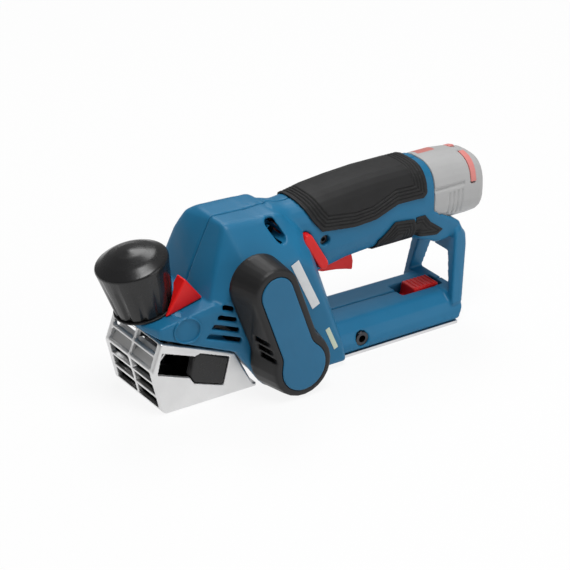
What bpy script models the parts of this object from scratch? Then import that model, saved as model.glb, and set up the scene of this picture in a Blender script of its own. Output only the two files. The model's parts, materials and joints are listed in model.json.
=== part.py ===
"""A cordless hand planer, as the separate pieces it is assembled from.

Every size is in millimetres and at() places it in metres. X runs from the toe of the
front shoe to the rear, Y to the right, Z up from the sole. The origin is on the
underside of the rear sole, at the middle of its length.
"""

import math

import bmesh
import bpy
from mathutils import Matrix, Vector

MM = 0.001
GAP = 0.3  # between pieces that seat on each other
STEPS = 24  # sides of a large round piece
FEW = 12  # sides of a small one

# Sole and shoe
BASE_LENGTH = 232.0
SHOE_WIDTH = 60.0
SOLE_THICK = 2.0
SHOE_WALL = 3.0
SHOE_RIB = 2.0
SHOE_SOLE_END = 70.5
SHOE_TOP_FRONT = (0.5, 50.2)
SHOE_TOP_REAR = (54.7, 28.9)
SHOE_CHEEK_END = 67.6
NOSE = (-6.6, 31.0)
CUT_DEPTH = 2.0  # how far the shoe rises

# Cutter
DRUM_X = 85.0
CUT_RADIUS = 22.2
DRUM_Z = CUT_RADIUS + GAP
DRUM_RADIUS = CUT_RADIUS - 1.7
DRUM_WIDTH = SHOE_WIDTH - 4.0
DRUM_SHAFT = 3.2
FRAME_INNER = CUT_RADIUS + 2.1
FRAME_WALL = 3.0
FRAME_TOP = DRUM_Z + FRAME_INNER + 2.2
HOOD_TOE = DRUM_X - FRAME_INNER - 3.7  # where the hood's lower front edge meets the deck
REAR_SOLE_START = DRUM_X + 12.5
FRAME_FACE = SHOE_WIDTH / 2 - 0.7  # inner face of the frame's side plates
BEARING_RADIUS = 9.5
BEARING_WIDTH = 5.4

# Housing
BODY_HALF = SHOE_WIDTH / 2 + 8.5
WALL = 2.6
CREST = 112.0
FLOOR_TOP = SOLE_THICK + 3.0
BASE_TOP = 21.0
HANDLE_WIDTH = 44.0
HANDLE_LOW = 64.0
HANDLE_TOP = 116.2
HANDLE_END = BASE_LENGTH - 15.5
HANDLE_WALL = 2.6
GRIP_THICK = 1.1

# Motor and belt
MOTOR_X = 67.5
MOTOR_Z = 79.0
STATOR_RADIUS = 20.0
STATOR_HALF = 11.0
ROTOR_RADIUS = 10.6
MOTOR_SHAFT = 2.8
MOTOR_BEARING_RADIUS = 8.0
MOTOR_BEARING_WIDTH = 5.4
MOTOR_PULLEY = 9.0
BELT_RATIO = 1.4
DRUM_PULLEY = MOTOR_PULLEY * BELT_RATIO
BELT_THICK = 2.2
BELT_WIDTH = 8.0
COVER_FACE = BODY_HALF + 21.2
COVER_WALL = 2.2
PLATE_THICK = 1.5

# Depth knob
KNOB_FOOT = (6.0, 64.0)
KNOB_TILT = 14.0
KNOB_LOW_RADIUS = 19.0
KNOB_HIGH_RADIUS = 24.0
KNOB_RIM = 34.0
KNOB_DOME = 8.0
KNOB_FLUTES = 12
SPINDLE = 3.0
NUT_RADIUS = 5.6

# Battery
BATTERY_LENGTH = 43.0
BATTERY_LOW = 69.5
RELEASE_TRAVEL = 1.0
RELEASE_THICK = 3.0
STICK_HALF_WIDTH = HANDLE_WIDTH / 2 - HANDLE_WALL - 2.9
STICK_HALF_HEIGHT = 18.0
STICK_LENGTH = 44.0

ORIGIN_X = (REAR_SOLE_START + BASE_LENGTH) / 2
INNER = BODY_HALF - WALL
Y_AXIS = (0.0, 1.0, 0.0)
Z_AXIS = (0.0, 0.0, 1.0)
LEAN = (-math.sin(math.radians(KNOB_TILT)), 0.0, math.cos(math.radians(KNOB_TILT)))
LEFT, RIGHT = -1, 1


# ---------------------------------------------------------------- making solids


def at(x, y, z):
    return Vector(((x - ORIGIN_X) * MM, y * MM, z * MM))


def paint(name, colour, rough, metal=0.0):
    finish = bpy.data.materials.new(name)
    finish.use_nodes = True
    shader = finish.node_tree.nodes["Principled BSDF"]
    shader.inputs["Base Color"].default_value = (*colour, 1.0)
    shader.inputs["Roughness"].default_value = rough
    shader.inputs["Metallic"].default_value = metal
    finish.diffuse_color = (*colour, 1.0)
    return finish


def solid(name, bm, finish):
    """The mesh as an object: a piece if it has a finish, else a hidden tool."""
    bmesh.ops.recalc_face_normals(bm, faces=bm.faces)
    mesh = bpy.data.meshes.new(name)
    bm.to_mesh(mesh)
    bm.free()
    obj = bpy.data.objects.new(name, mesh)
    bpy.context.collection.objects.link(obj)
    if finish:
        mesh.materials.append(paint(name, *finish))
    else:
        obj.hide_render = True
        obj.display_type = "WIRE"
    return obj


def smooth(obj, angle=35):
    obj.data.shade_smooth()
    obj.data.set_sharp_from_angle(angle=math.radians(angle))
    return obj


def loft(name, rings, finish=None):
    """A skin over rings of points, with a flat cap at each end."""
    bm = bmesh.new()
    rows = [[bm.verts.new(p) for p in ring] for ring in rings]
    for low, high in zip(rows, rows[1:]):
        for i in range(len(low)):
            j = (i + 1) % len(low)
            bm.faces.new((low[i], low[j], high[j], high[i]))
    bm.faces.new(rows[0][::-1])
    bm.faces.new(rows[-1])
    return solid(name, bm, finish)


def prism(name, outline, y0, y1, finish=None):
    """An outline of (x, z) points drawn out from y0 to y1."""
    return loft(name, [[at(x, y, z) for x, z in outline] for y in (y0, y1)], finish)


def hull(name, points, finish=None, right=None):
    """The smallest convex solid round the points, which serve both sides unless right is given."""
    bm = bmesh.new()
    for side, corners in ((LEFT, points), (RIGHT, right or points)):
        for x, y, z in corners:
            bm.verts.new(at(x, side * y, z))
    bmesh.ops.remove_doubles(bm, verts=bm.verts, dist=0.01 * MM)
    made = bmesh.ops.convex_hull(bm, input=bm.verts)
    loose = [v for v in made["geom_interior"] if isinstance(v, bmesh.types.BMVert)]
    bmesh.ops.delete(bm, geom=loose, context="VERTS")
    bmesh.ops.dissolve_limit(
        bm, angle_limit=math.radians(1), verts=bm.verts, edges=bm.edges
    )
    return solid(name, bm, finish)


def box(name, x, y, z, finish=None):
    return prism(name, [(x[0], z[0]), (x[1], z[0]), (x[1], z[1]), (x[0], z[1])], *y, finish)


def turned(name, base, axis, profile, finish=None, steps=STEPS):
    """A closed profile of (along, radius) points turned about an axis through base."""
    turn = Vector(axis).to_track_quat("Z", "X").to_matrix()
    start = at(*base)
    bm = bmesh.new()
    rows = []
    for along, radius in profile:
        count = steps if radius else 1
        ring = []
        for i in range(count):
            a = math.tau * i / steps
            local = Vector((radius * math.cos(a), radius * math.sin(a), along)) * MM
            ring.append(bm.verts.new(start + turn @ local))
        rows.append(ring)
    for low, high in zip(rows, rows[1:] + rows[:1]):
        if len(low) == 1 and len(high) == 1:
            continue
        for i in range(steps):
            j = (i + 1) % steps
            corners = (low[i % len(low)], low[j % len(low)], high[j % len(high)], high[i % len(high)])
            bm.faces.new(tuple(dict.fromkeys(corners)))
    made = solid(name, bm, finish)
    return smooth(made) if finish else made


def rod(name, base, axis, radius, length, finish=None, steps=STEPS):
    return turned(name, base, axis, [(0, 0), (0, radius), (length, radius), (length, 0)], finish, steps)


def sleeve(name, base, axis, inner, outer, length, finish=None, steps=STEPS):
    profile = [(0, inner), (0, outer), (length, outer), (length, inner)]
    return turned(name, base, axis, profile, finish, steps)


def boolean(target, operation, tools):
    for tool in tools:
        step = target.modifiers.new(tool.name, "BOOLEAN")
        step.operation = operation
        step.solver = "EXACT"
        step.object = tool
    return target


def cut(target, *tools):
    return boolean(target, "DIFFERENCE", tools)


def join(target, *tools):
    return boolean(target, "UNION", tools)


def keep(target, *tools):
    return boolean(target, "INTERSECT", tools)


def rounded(obj, width, segments=2, angle=30):
    step = obj.modifiers.new("Round", "BEVEL")
    step.width = width * MM
    step.segments = segments
    step.limit_method = "ANGLE"
    step.angle_limit = math.radians(angle)
    return obj


def swing_from(name, point, pieces):
    """An empty on a joint's axis, which carries the pieces that move there."""
    empty = bpy.data.objects.new(name, None)
    empty.location = at(*point)
    bpy.context.collection.objects.link(empty)
    for piece in pieces:
        piece.data.transform(Matrix.Translation(-empty.location))
        piece.parent = empty
    return empty


# ---------------------------------------------------------------- outlines


def arc(cx, cz, radius, start, end, count):
    """Points (x, z) on an arc, from the start angle to the end angle in degrees."""
    angles = [math.radians(start + (end - start) * i / count) for i in range(count + 1)]
    return [(cx + radius * math.cos(a), cz + radius * math.sin(a)) for a in angles]


def belt_outline(radius_low, radius_high, count=14):
    """The tight loop round two circles, at the drum's axis and the motor's."""
    dx, dz = MOTOR_X - DRUM_X, MOTOR_Z - DRUM_Z
    reach = math.hypot(dx, dz)
    lean = math.degrees(math.atan2(dz, dx))
    spread = math.degrees(math.acos((radius_low - radius_high) / reach))
    high = arc(MOTOR_X, MOTOR_Z, radius_high, lean - spread, lean + spread, count)
    low = arc(DRUM_X, DRUM_Z, radius_low, lean + spread, lean + 360 - spread, count)
    return high + low


def keyhole(high, r_high, low, r_low, fillet=14.0, count=8):
    """A round-ended bar from high to low that runs into a larger circle at low."""
    dx, dz = high[0] - low[0], high[1] - low[1]
    reach = math.hypot(dx, dz)
    along = (dx / reach, dz / reach)
    across = (along[1], -along[0])
    neck = math.sqrt((r_low + fillet) ** 2 - (r_high + fillet) ** 2)
    rise = math.degrees(math.atan2(neck, r_high + fillet))
    right = arc(0, 0, r_low, -90, rise, count)
    right += arc(r_high + fillet, neck, fillet, 180 + rise, 180, count // 2)[1:]
    right += arc(0, reach, r_high, 0, 90, count)
    left = [(-t, s) for t, s in right[-2:0:-1]]
    return [
        (low[0] + t * across[0] + s * along[0], low[1] + t * across[1] + s * along[1])
        for t, s in right + left
    ]


def squarish(x, middle, half_width, half_height, power=3.0, count=28):
    """A rounded rectangle across X, as a superellipse."""
    ring = []
    for i in range(count):
        a = math.tau * i / count
        y = math.copysign(abs(math.cos(a)) ** (2 / power), math.cos(a)) * half_width
        z = math.copysign(abs(math.sin(a)) ** (2 / power), math.sin(a)) * half_height
        ring.append(at(x, y, middle + z))
    return ring


def knob_at(along, radius=0.0, angle=0.0):
    """A point round the knob's leaning axis, in metres."""
    turn = Vector(LEAN).to_track_quat("Z", "X").to_matrix()
    local = Vector((radius * math.cos(angle), radius * math.sin(angle), along)) * MM
    return at(KNOB_FOOT[0], 0, KNOB_FOOT[1]) + turn @ local


def on_knob_axis(along):
    """The place on the knob's axis, in millimetres, along mm above its foot."""
    return (KNOB_FOOT[0] + LEAN[0] * along, 0.0, KNOB_FOOT[1] + LEAN[2] * along)


def shoe_line(x, above=0.0):
    """Height of the shoe's sloping top edge at x."""
    (x0, z0), (x1, z1) = SHOE_TOP_FRONT, SHOE_TOP_REAR
    return z0 + (z1 - z0) * (x - x0) / (x1 - x0) + above


def deck_line(x):
    """Height of the deck under the knob at x, square to the knob's axis."""
    slope = math.tan(math.radians(KNOB_TILT))
    return KNOB_FOOT[1] - 2.2 + slope * (x - KNOB_FOOT[0])


# ---------------------------------------------------------------- finishes

BLUE = ((0.024, 0.16, 0.33), 0.45)
BLACK = ((0.035, 0.035, 0.037), 0.6)
RED = ((0.75, 0.02, 0.015), 0.4)
ALUMINIUM = ((0.62, 0.62, 0.62), 0.35, 0.9)
STEEL = ((0.45, 0.45, 0.46), 0.3, 1.0)
DARK_STEEL = ((0.16, 0.16, 0.17), 0.4, 0.9)
COPPER = ((0.55, 0.22, 0.08), 0.4, 0.8)
BRASS = ((0.6, 0.42, 0.14), 0.35, 1.0)
GREY = ((0.4, 0.4, 0.4), 0.5)
PALE_RED = ((0.7, 0.22, 0.2), 0.5)
GREEN = ((0.02, 0.14, 0.05), 0.5)


# ---------------------------------------------------------------- front shoe


def window_outline(grow=0.0):
    g = grow
    return [
        (1.0 - g, 43.5 + g),
        (24.8, 34.6 + g),
        (28.7, 35.7 + g),
        (50.3 + g, 27.2 + g),
        (45.4 + g, 8.2 - g),
        (24.0 - g, 15.6 - g),
        (20.8, 20.6 - g),
        (-2.6 - g, 29.2 - g),
    ]


def shoe_side():
    return [
        (2.6, 0),
        (0.0, 2.4),
        NOSE,
        (NOSE[0] + 1.2, NOSE[1] + 3.0),
        SHOE_TOP_FRONT,
        SHOE_TOP_REAR,
        (SHOE_CHEEK_END, 3.2),
        (SHOE_SOLE_END, 3.0),
        (SHOE_SOLE_END, 0),
    ]


def shoe_hollow():
    """The space behind the lattice, one rib's depth inside the skin."""
    deep = 9.0
    return [
        (deep, SHOE_WALL + 1.2),
        (NOSE[0] + deep, NOSE[1]),
        (SHOE_TOP_FRONT[0] + deep - 1, shoe_line(SHOE_TOP_FRONT[0] + deep - 1, -SHOE_WALL)),
        (SHOE_TOP_REAR[0] - 2.2, shoe_line(SHOE_TOP_REAR[0] - 2.2, -SHOE_WALL)),
        (SHOE_CHEEK_END - SHOE_WALL - 1.0, SHOE_WALL + 1.2),
    ]


def lattice_cells():
    """Two columns of five openings through the nose."""
    half = SHOE_WIDTH / 2 - 4.4
    lower = [3.6 + i * 9.6 for i in range(3)]
    upper = [NOSE[1] + 1.9 + i * 8.9 for i in range(2)]
    cells = []
    for row, (z, tall) in enumerate([(z, 7.6) for z in lower] + [(z, 7.0) for z in upper]):
        for side in (LEFT, RIGHT):
            y = sorted((side * SHOE_RIB / 2, side * half))
            cells.append(box(f"cell_{row}_{side}", (-14, 12), y, (z, z + tall)))
    return cells


def front_shoe():
    half = SHOE_WIDTH / 2
    shoe = rounded(prism("front_shoe", shoe_side(), -half, half, ALUMINIUM), 1.0, 2)
    hollow = prism("shoe_hollow", shoe_hollow(), SHOE_WALL - half, half - SHOE_WALL)
    foot = on_knob_axis(-KNOB_FOOT[1] * 0.93)
    boss = rod("shoe_boss", foot, LEAN, NUT_RADIUS + GAP + 2.6, 60, steps=FEW)
    cut(hollow, boss)
    cut(shoe, hollow, *lattice_cells())
    cut(shoe, prism("shoe_window", window_outline(), -half - 2, half + 2))
    cut(shoe, rod("nut_bore", on_knob_axis(-44), LEAN, NUT_RADIUS + GAP, 40, steps=FEW))
    groove = [
        at(x, y, z) for x in (-5, SHOE_SOLE_END + 5) for y, z in ((-2.4, -0.1), (2.4, -0.1), (0, 2.2))
    ]
    cut(shoe, loft("vee_groove", [groove[:3], groove[3:]]))
    return shoe


def shoe_guide(side, name):
    """The plastic block that fills the rear of a side window."""
    half = SHOE_WIDTH / 2
    g = GAP
    outline = [
        (24.6, 34.5 - g),
        (28.7, 35.6 - g),
        (50.2 - g, 27.1 - g),
        (45.3 - g, 8.3 + g),
        (24.1 + g, 15.7 + g),
        (21.4, 20.5 + g),
    ]
    y = sorted((side * (half - 0.5), side * (half - 7)))
    block = prism(name, outline, *y, BLACK)
    return rounded(block, 0.6, 1)


def depth_nut():
    return sleeve("depth_nut", on_knob_axis(-43.7), LEAN, SPINDLE + GAP, NUT_RADIUS, 22, DARK_STEEL, FEW)


# ---------------------------------------------------------------- depth knob


def depth_knob():
    steps = KNOB_FLUTES * 4
    rows = [
        (0.0, KNOB_LOW_RADIUS, 1.3),
        (KNOB_RIM * 0.7, KNOB_LOW_RADIUS + (KNOB_HIGH_RADIUS - KNOB_LOW_RADIUS) * 0.7, 0.5),
        (KNOB_RIM - 1.0, KNOB_HIGH_RADIUS, 0.0),
        (KNOB_RIM, KNOB_HIGH_RADIUS - 0.5, 0.0),
        (KNOB_RIM + KNOB_DOME * 0.5, KNOB_HIGH_RADIUS * 0.7, 0.0),
        (KNOB_RIM + KNOB_DOME * 0.86, KNOB_HIGH_RADIUS * 0.36, 0.0),
        (KNOB_RIM + KNOB_DOME, KNOB_HIGH_RADIUS * 0.06, 0.0),
    ]
    rings = []
    for along, radius, depth in rows:
        ring = []
        for i in range(steps):
            a = math.tau * i / steps
            dip = depth * max(0.0, math.cos(a * KNOB_FLUTES))
            ring.append(knob_at(along, radius - dip, a))
        rings.append(ring)
    knob = smooth(loft("depth_knob", rings, BLACK), 30)
    return cut(knob, rod("knob_bore", on_knob_axis(-5), LEAN, SPINDLE + GAP, 25, steps=FEW))


def knob_spindle():
    return rod("knob_spindle", on_knob_axis(-41.5), LEAN, SPINDLE, 61.0, STEEL, FEW)


def depth_scale_ring():
    return sleeve(
        "depth_scale_ring", on_knob_axis(-1.7), LEAN, SPINDLE + GAP, KNOB_LOW_RADIUS + 1.2, 1.4, ALUMINIUM
    )


def depth_pointer():
    outline = [(9, deck_line(9) + 0.4), (36, deck_line(36) + 0.4), (23.5, 86)]
    pointer = rounded(prism("depth_pointer", outline, -22, -12, RED), 0.8, 1)
    room = [
        (-3, 0),
        (-3, KNOB_LOW_RADIUS + 1.5),
        (0, KNOB_LOW_RADIUS + 1.5),
        (KNOB_RIM, KNOB_HIGH_RADIUS + 0.8),
        (60, KNOB_HIGH_RADIUS + 0.8),
        (60, 0),
    ]
    return cut(pointer, turned("knob_room", on_knob_axis(0), LEAN, room))


# ---------------------------------------------------------------- housing


def hood_sides(inset=0.0):
    """Corners of the hood, each moved in from the skin by inset: those shared by both
    sides, then the slopes over the belt on the left and the rounder right."""
    w = inset
    b = BODY_HALF - w
    heel = FLOOR_TOP if w else SOLE_THICK + 0.5
    both = [
        (37 + w, 18 - w * 0.5, 68.5 - w),
        (32 + w, b - 4, 60 - w),
        (98 - w * 0.7, 18 - w * 0.5, CREST - 5 - w),
        (107 - w, 20 - w * 0.5, CREST - 11 - w),
        (115 - w, 20 - w * 0.5, CREST - 20),
        (119 - w, 20 - w * 0.5, CREST - 32),
        (108.6 - w, b, 78),
        (134.3 - w, b, 10.5),
        (136 - w, b, heel),
        (HOOD_TOE + 15 + w, b, heel),
        (HOOD_TOE + w, b, shoe_line(HOOD_TOE, 2.6) + w),
        (47 + w, b, 62),
    ]
    slopes = [
        (56 + w, 15 - w * 0.5, CREST - w),
        (86 - w * 0.3, 17 - w * 0.5, CREST - 2 - w),
        (62 + w * 0.5, b, 84 - w * 0.7),
        (100 - w * 0.5, b, 86 - w * 0.7),
    ]
    rounder = [
        (56 + w, 10, CREST - w),
        (58 + w, 19 - w * 0.5, CREST + 1 - w),
        (82 - w * 0.3, 19 - w * 0.5, CREST + 0.4 - w),
        (52 + w, 25 - w * 0.7, CREST - 4 - w),
        (46.5 + w, 30 - w * 0.8, CREST - 15 - w),
        (46 + w, b - 3, CREST - 27),
        (62, 31 - w * 0.8, CREST - 6 - w),
        (92 - w * 0.4, 30 - w * 0.8, CREST - 10 - w),
        (60, b, 88 - w * 0.7),
        (98 - w * 0.5, b, 88 - w * 0.7),
    ]
    return both + slopes, both + rounder


def deck_points():
    half = SHOE_WIDTH / 2 - 0.5
    return [
        (-5, 14, deck_line(-5)),
        (-4.6, 14, shoe_line(-4.6, 2.4)),
        (-0.5, half, deck_line(-0.5)),
        (-0.2, half, shoe_line(-0.2, 2.4)),
        (HOOD_TOE, BODY_HALF, shoe_line(HOOD_TOE, 2.6)),
        (52, BODY_HALF, 66),
        (36, BODY_HALF - 4, deck_line(36)),
        (48, 20, deck_line(48)),
    ]


def handle_rings(grow=0.0, start=96.0, end=None):
    """Sections of the handle from inside the hood to its rear end."""
    top, low, half = HANDLE_TOP, HANDLE_LOW, HANDLE_WIDTH / 2
    rear = HANDLE_END
    stations = [
        (96.0, low - 3, top - 6.6, half - 4.0),
        (106.0, low - 6, top - 6.2, half - 3.0),
        (118.0, low - 7.5, top - 5.2, half - 1.6),
        (132.0, low - 5.5, top - 3.0, half - 0.6),
        (150.0, low - 1.6, top - 1.4, half),
        (172.0, low, top, half),
        (rear - 10.0, low, top, half),
        (rear, low + 0.6, top - 0.6, half - 0.4),
    ]
    rings = []
    for x, z0, z1, hw in stations:
        if x < start:
            continue
        rings.append(squarish(x, (z0 + z1) / 2, hw + grow, (z1 - z0) / 2 + grow))
    if end is not None:
        x, z0, z1, hw = stations[-2]
        del rings[-2:]
        rings.append(squarish(end, (z0 + z1) / 2, hw + grow, (z1 - z0) / 2 + grow))
    return rings


def base_points():
    half = SHOE_WIDTH / 2
    foot = SOLE_THICK + GAP
    rear = BASE_LENGTH + 6.5
    return [
        (112, half, foot),
        (112, half, 9.0),
        (112, half - 4, BASE_TOP - 5.2),
        (112, half - 12, BASE_TOP),
        (BASE_LENGTH + 2.0, half, foot),
        (rear, half - 2, 9.5),
        (rear, half - 5, BASE_TOP - 5.5),
        (rear, half - 12, BASE_TOP - 1.0),
    ]


def hoop_points():
    half = SHOE_WIDTH / 2
    rear = BASE_LENGTH
    return [
        (rear - 4, half - 1.5, 12),
        (rear + 6.3, half - 2.6, 12),
        (rear + 3, 21.5, HANDLE_LOW + 1),
        (rear + 5, 21.5, 50),
        (rear + 14, 20, 50),
        (rear + 14.5, 18, HANDLE_LOW - 4),
        (rear + 8, 20, HANDLE_LOW + 3),
    ]


def hoop_window():
    rear = BASE_LENGTH
    corners = [
        (x, y, z)
        for x in (rear - 20, rear + 30) for y, z in ((22.0, BASE_TOP - 0.6), (15.5, HANDLE_LOW - 16))
    ]
    return hull("hoop_window", corners)


def tail_points():
    return [
        (HANDLE_END - 12, 21, HANDLE_LOW + 3),
        (HANDLE_END - 12, 21.5, HANDLE_LOW + 22),
        (HANDLE_END + 1.5, 22, HANDLE_LOW + 20.5),
        (HANDLE_END + 24, 19.5, HANDLE_LOW + 5.2),
        (BASE_LENGTH + 13, 18, HANDLE_LOW - 3),
        (BASE_LENGTH - 9, 19, HANDLE_LOW - 6),
        (HANDLE_END - 14, 12, HANDLE_LOW + 0.4),
    ]


def battery_ring(x, grow=0.0, shrink=1.0, sink=0.0):
    middle = (BATTERY_LOW + HANDLE_TOP - 0.6) / 2 - sink
    tall = (HANDLE_TOP - 0.6 - BATTERY_LOW) / 2
    half = HANDLE_WIDTH / 2 - 0.4
    return squarish(x, middle, half * shrink + grow, tall * shrink + grow, 2.7)


def stick_ring(x, grow=0.0):
    middle = (BATTERY_LOW + HANDLE_TOP) / 2
    return squarish(x, middle, STICK_HALF_WIDTH + grow, STICK_HALF_HEIGHT + grow, 2.4)


def screw_boss(name, spot, radius=4.2):
    return rod(name, (spot[0], -60, spot[1]), Y_AXIS, radius, 120, steps=FEW)


HOOD_SCREW = (91.5, 98.6)
HANDLE_SCREW = (129.5, 84.5)
TAIL_SCREW = (HANDLE_END + 12.0, HANDLE_LOW - 1.5)
BASE_SCREWS = ((141.0, 9.8), (BASE_LENGTH - 36.0, 9.2))
SOLE_SCREWS = (124.0, BASE_LENGTH - 48.0)
GUIDE_HOLE = (154.3, 9.4)
GUIDE_RADIUS = 4.8
REST_PIVOT = (BASE_LENGTH - 25.5, 9.6)
REST_HALF = 7.5
LOCK_TOP = (114.5, 90.0)
LOCK_LOW = (126.6, 69.4)
LOCK_RADIUS = 3.6
TRIGGER_PIVOT = (130.0, 62.0)
TRIGGER_HALF = 7.0
OUTLET = (95.0, 57.0)
OUTLET_RADIUS = 13.6
SWITCH = (137.0, 159.0)
TERMINAL_X = HANDLE_END - STICK_LENGTH - 4.0


def lock_outline(grow=0.0):
    dx, dz = LOCK_TOP[0] - LOCK_LOW[0], LOCK_TOP[1] - LOCK_LOW[1]
    lean = math.degrees(math.atan2(dz, dx))
    radius = LOCK_RADIUS + grow
    return arc(*LOCK_TOP, radius, lean - 90, lean + 90, 6) + arc(
        *LOCK_LOW, radius, lean + 90, lean + 270, 6
    )


def bulkhead(side):
    """The wall that holds one end of the motor's stator."""
    y = sorted((side * (STATOR_HALF - 3), side * STATOR_HALF))
    plate = box(f"bulkhead_{side}", (MOTOR_X - 40, MOTOR_X + 23), y, (FRAME_TOP + 8.0, CREST + 4))
    return plate


def bearing_boss(side):
    start = INNER - 6.6
    return rod(
        f"motor_boss_{side}",
        (MOTOR_X, side * start, MOTOR_Z),
        (0, side, 0),
        MOTOR_BEARING_RADIUS + 3,
        14,
        steps=FEW,
    )


def hood_space():
    """The room inside the hood, less the bosses and walls that stand in it."""
    left, right = hood_sides(WALL)
    space = hull("hood_space", left, right=right)
    cut(space, screw_boss("hood_boss", HOOD_SCREW))
    cut(space, bulkhead(LEFT), bulkhead(RIGHT))
    cut(space, bearing_boss(LEFT), bearing_boss(RIGHT))
    return space


def handle_space():
    space = loft("handle_space", handle_rings(-HANDLE_WALL, 100, HANDLE_END - 6))
    middle = (SWITCH[0] + SWITCH[1]) / 2
    cut(space, screw_boss("handle_boss", HANDLE_SCREW))
    for side in (LEFT, RIGHT):
        y = sorted((side * 9.3, side * 30))
        cut(space, box(f"switch_rib_{side}", (middle - 2, middle + 2), y, (76, 90)))
        y = sorted((side * 11.3, side * 30))
        x = (TERMINAL_X - 0.5, TERMINAL_X + 2.5)
        cut(space, box(f"terminal_rib_{side}", x, y, (80, 106)))
    return space


def base_space():
    half = SHOE_WIDTH / 2 - WALL
    start, end = 122.0, REST_PIVOT[0] - 7.0
    corners = [
        (x, y, z)
        for x in (start, end) for y, z in ((half, FLOOR_TOP), (half, 9.0), (half - 12, BASE_TOP - WALL))
    ]
    space = hull("base_space", corners)
    for i, spot in enumerate(BASE_SCREWS):
        cut(space, screw_boss(f"base_boss_{i}", spot))
    for i, x in enumerate(SOLE_SCREWS):
        cut(space, rod(f"sole_boss_{i}", (x, 0, -5), Z_AXIS, 4.2, 40, steps=FEW))
    inward = SHOE_WIDTH / 2 - 17.0
    cut(
        space,
        rod(
            "guide_boss",
            (GUIDE_HOLE[0], -inward - 27, GUIDE_HOLE[1]),
            Y_AXIS,
            GUIDE_RADIUS + 2.2,
            27,
            steps=FEW,
        ),
    )
    return space


def louvres():
    """Four slots that widen downwards between the deck and the belt cover."""
    slots = []
    for i in range(4):
        outline = [
            (42.5 - 3.2 * i, 68.1 - 6.0 * i),
            (48.8 + 1.8 * i, 66.3 - 7.7 * i),
            (50.2 + 1.6 * i, 62.6 - 7.8 * i),
            (41.5 - 3.6 * i, 64.9 - 5.9 * i),
        ]
        slots.append(prism(f"louvre_{i}", outline, -BODY_HALF - 3, -BODY_HALF + 9))
    return slots


def hood_pocket():
    """The slot in the left slope that leads to the hood's screw."""
    x, z = HOOD_SCREW
    lean = 118
    outline = arc(x, z, 3.6, lean - 270, lean - 90, 6) + arc(
        x - 4.2, z + 7.8, 3.0, lean - 90, lean + 90, 6
    )
    return prism("hood_pocket", outline, -60, -16)


def screw_holes():
    """Clearance for the housing screws: shank right through, head from its own side."""
    tools = []
    spots = (
        (HOOD_SCREW, LEFT),
        (HANDLE_SCREW, LEFT),
        (TAIL_SCREW, RIGHT),
        (BASE_SCREWS[0], RIGHT),
        (BASE_SCREWS[1], RIGHT),
    )
    for i, ((x, z), side) in enumerate(spots):
        step = [(-11.5, 0), (-11.5, 1.9), (9.0, 1.9), (9.0, 3.6), (70, 3.6), (70, 0)]
        tools.append(turned(f"screw_hole_{i}", (x, 0, z), (0, side, 0), step, steps=FEW))
    return tools


def mouth():
    """The opening under the drum: as wide as the shoe in front, and as the frame behind."""
    rear = REAR_SOLE_START - GAP
    outline = [(SHOE_TOP_REAR[0] - 5, 33.0), (DRUM_X, 33.0), (rear, 12.0), (rear, -4), (HOOD_TOE + 1, -4)]
    front = SHOE_WIDTH / 2 + 0.6
    cheeks = FRAME_FACE + FRAME_WALL + GAP
    opening = prism("mouth", outline, -front, front)
    return join(opening, box("mouth_cheeks", (HOOD_TOE + 14.3, rear), (-cheeks, cheeks), (-4, 12)))


def rest_room():
    """The slot through the base in which the park rest swings."""
    x, z = REST_PIVOT
    half = REST_HALF + 0.5
    room = box("rest_room", (x - 4.6, BASE_LENGTH + 3.2), (-half, half), (-5, BASE_TOP + 6))
    return room


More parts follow.
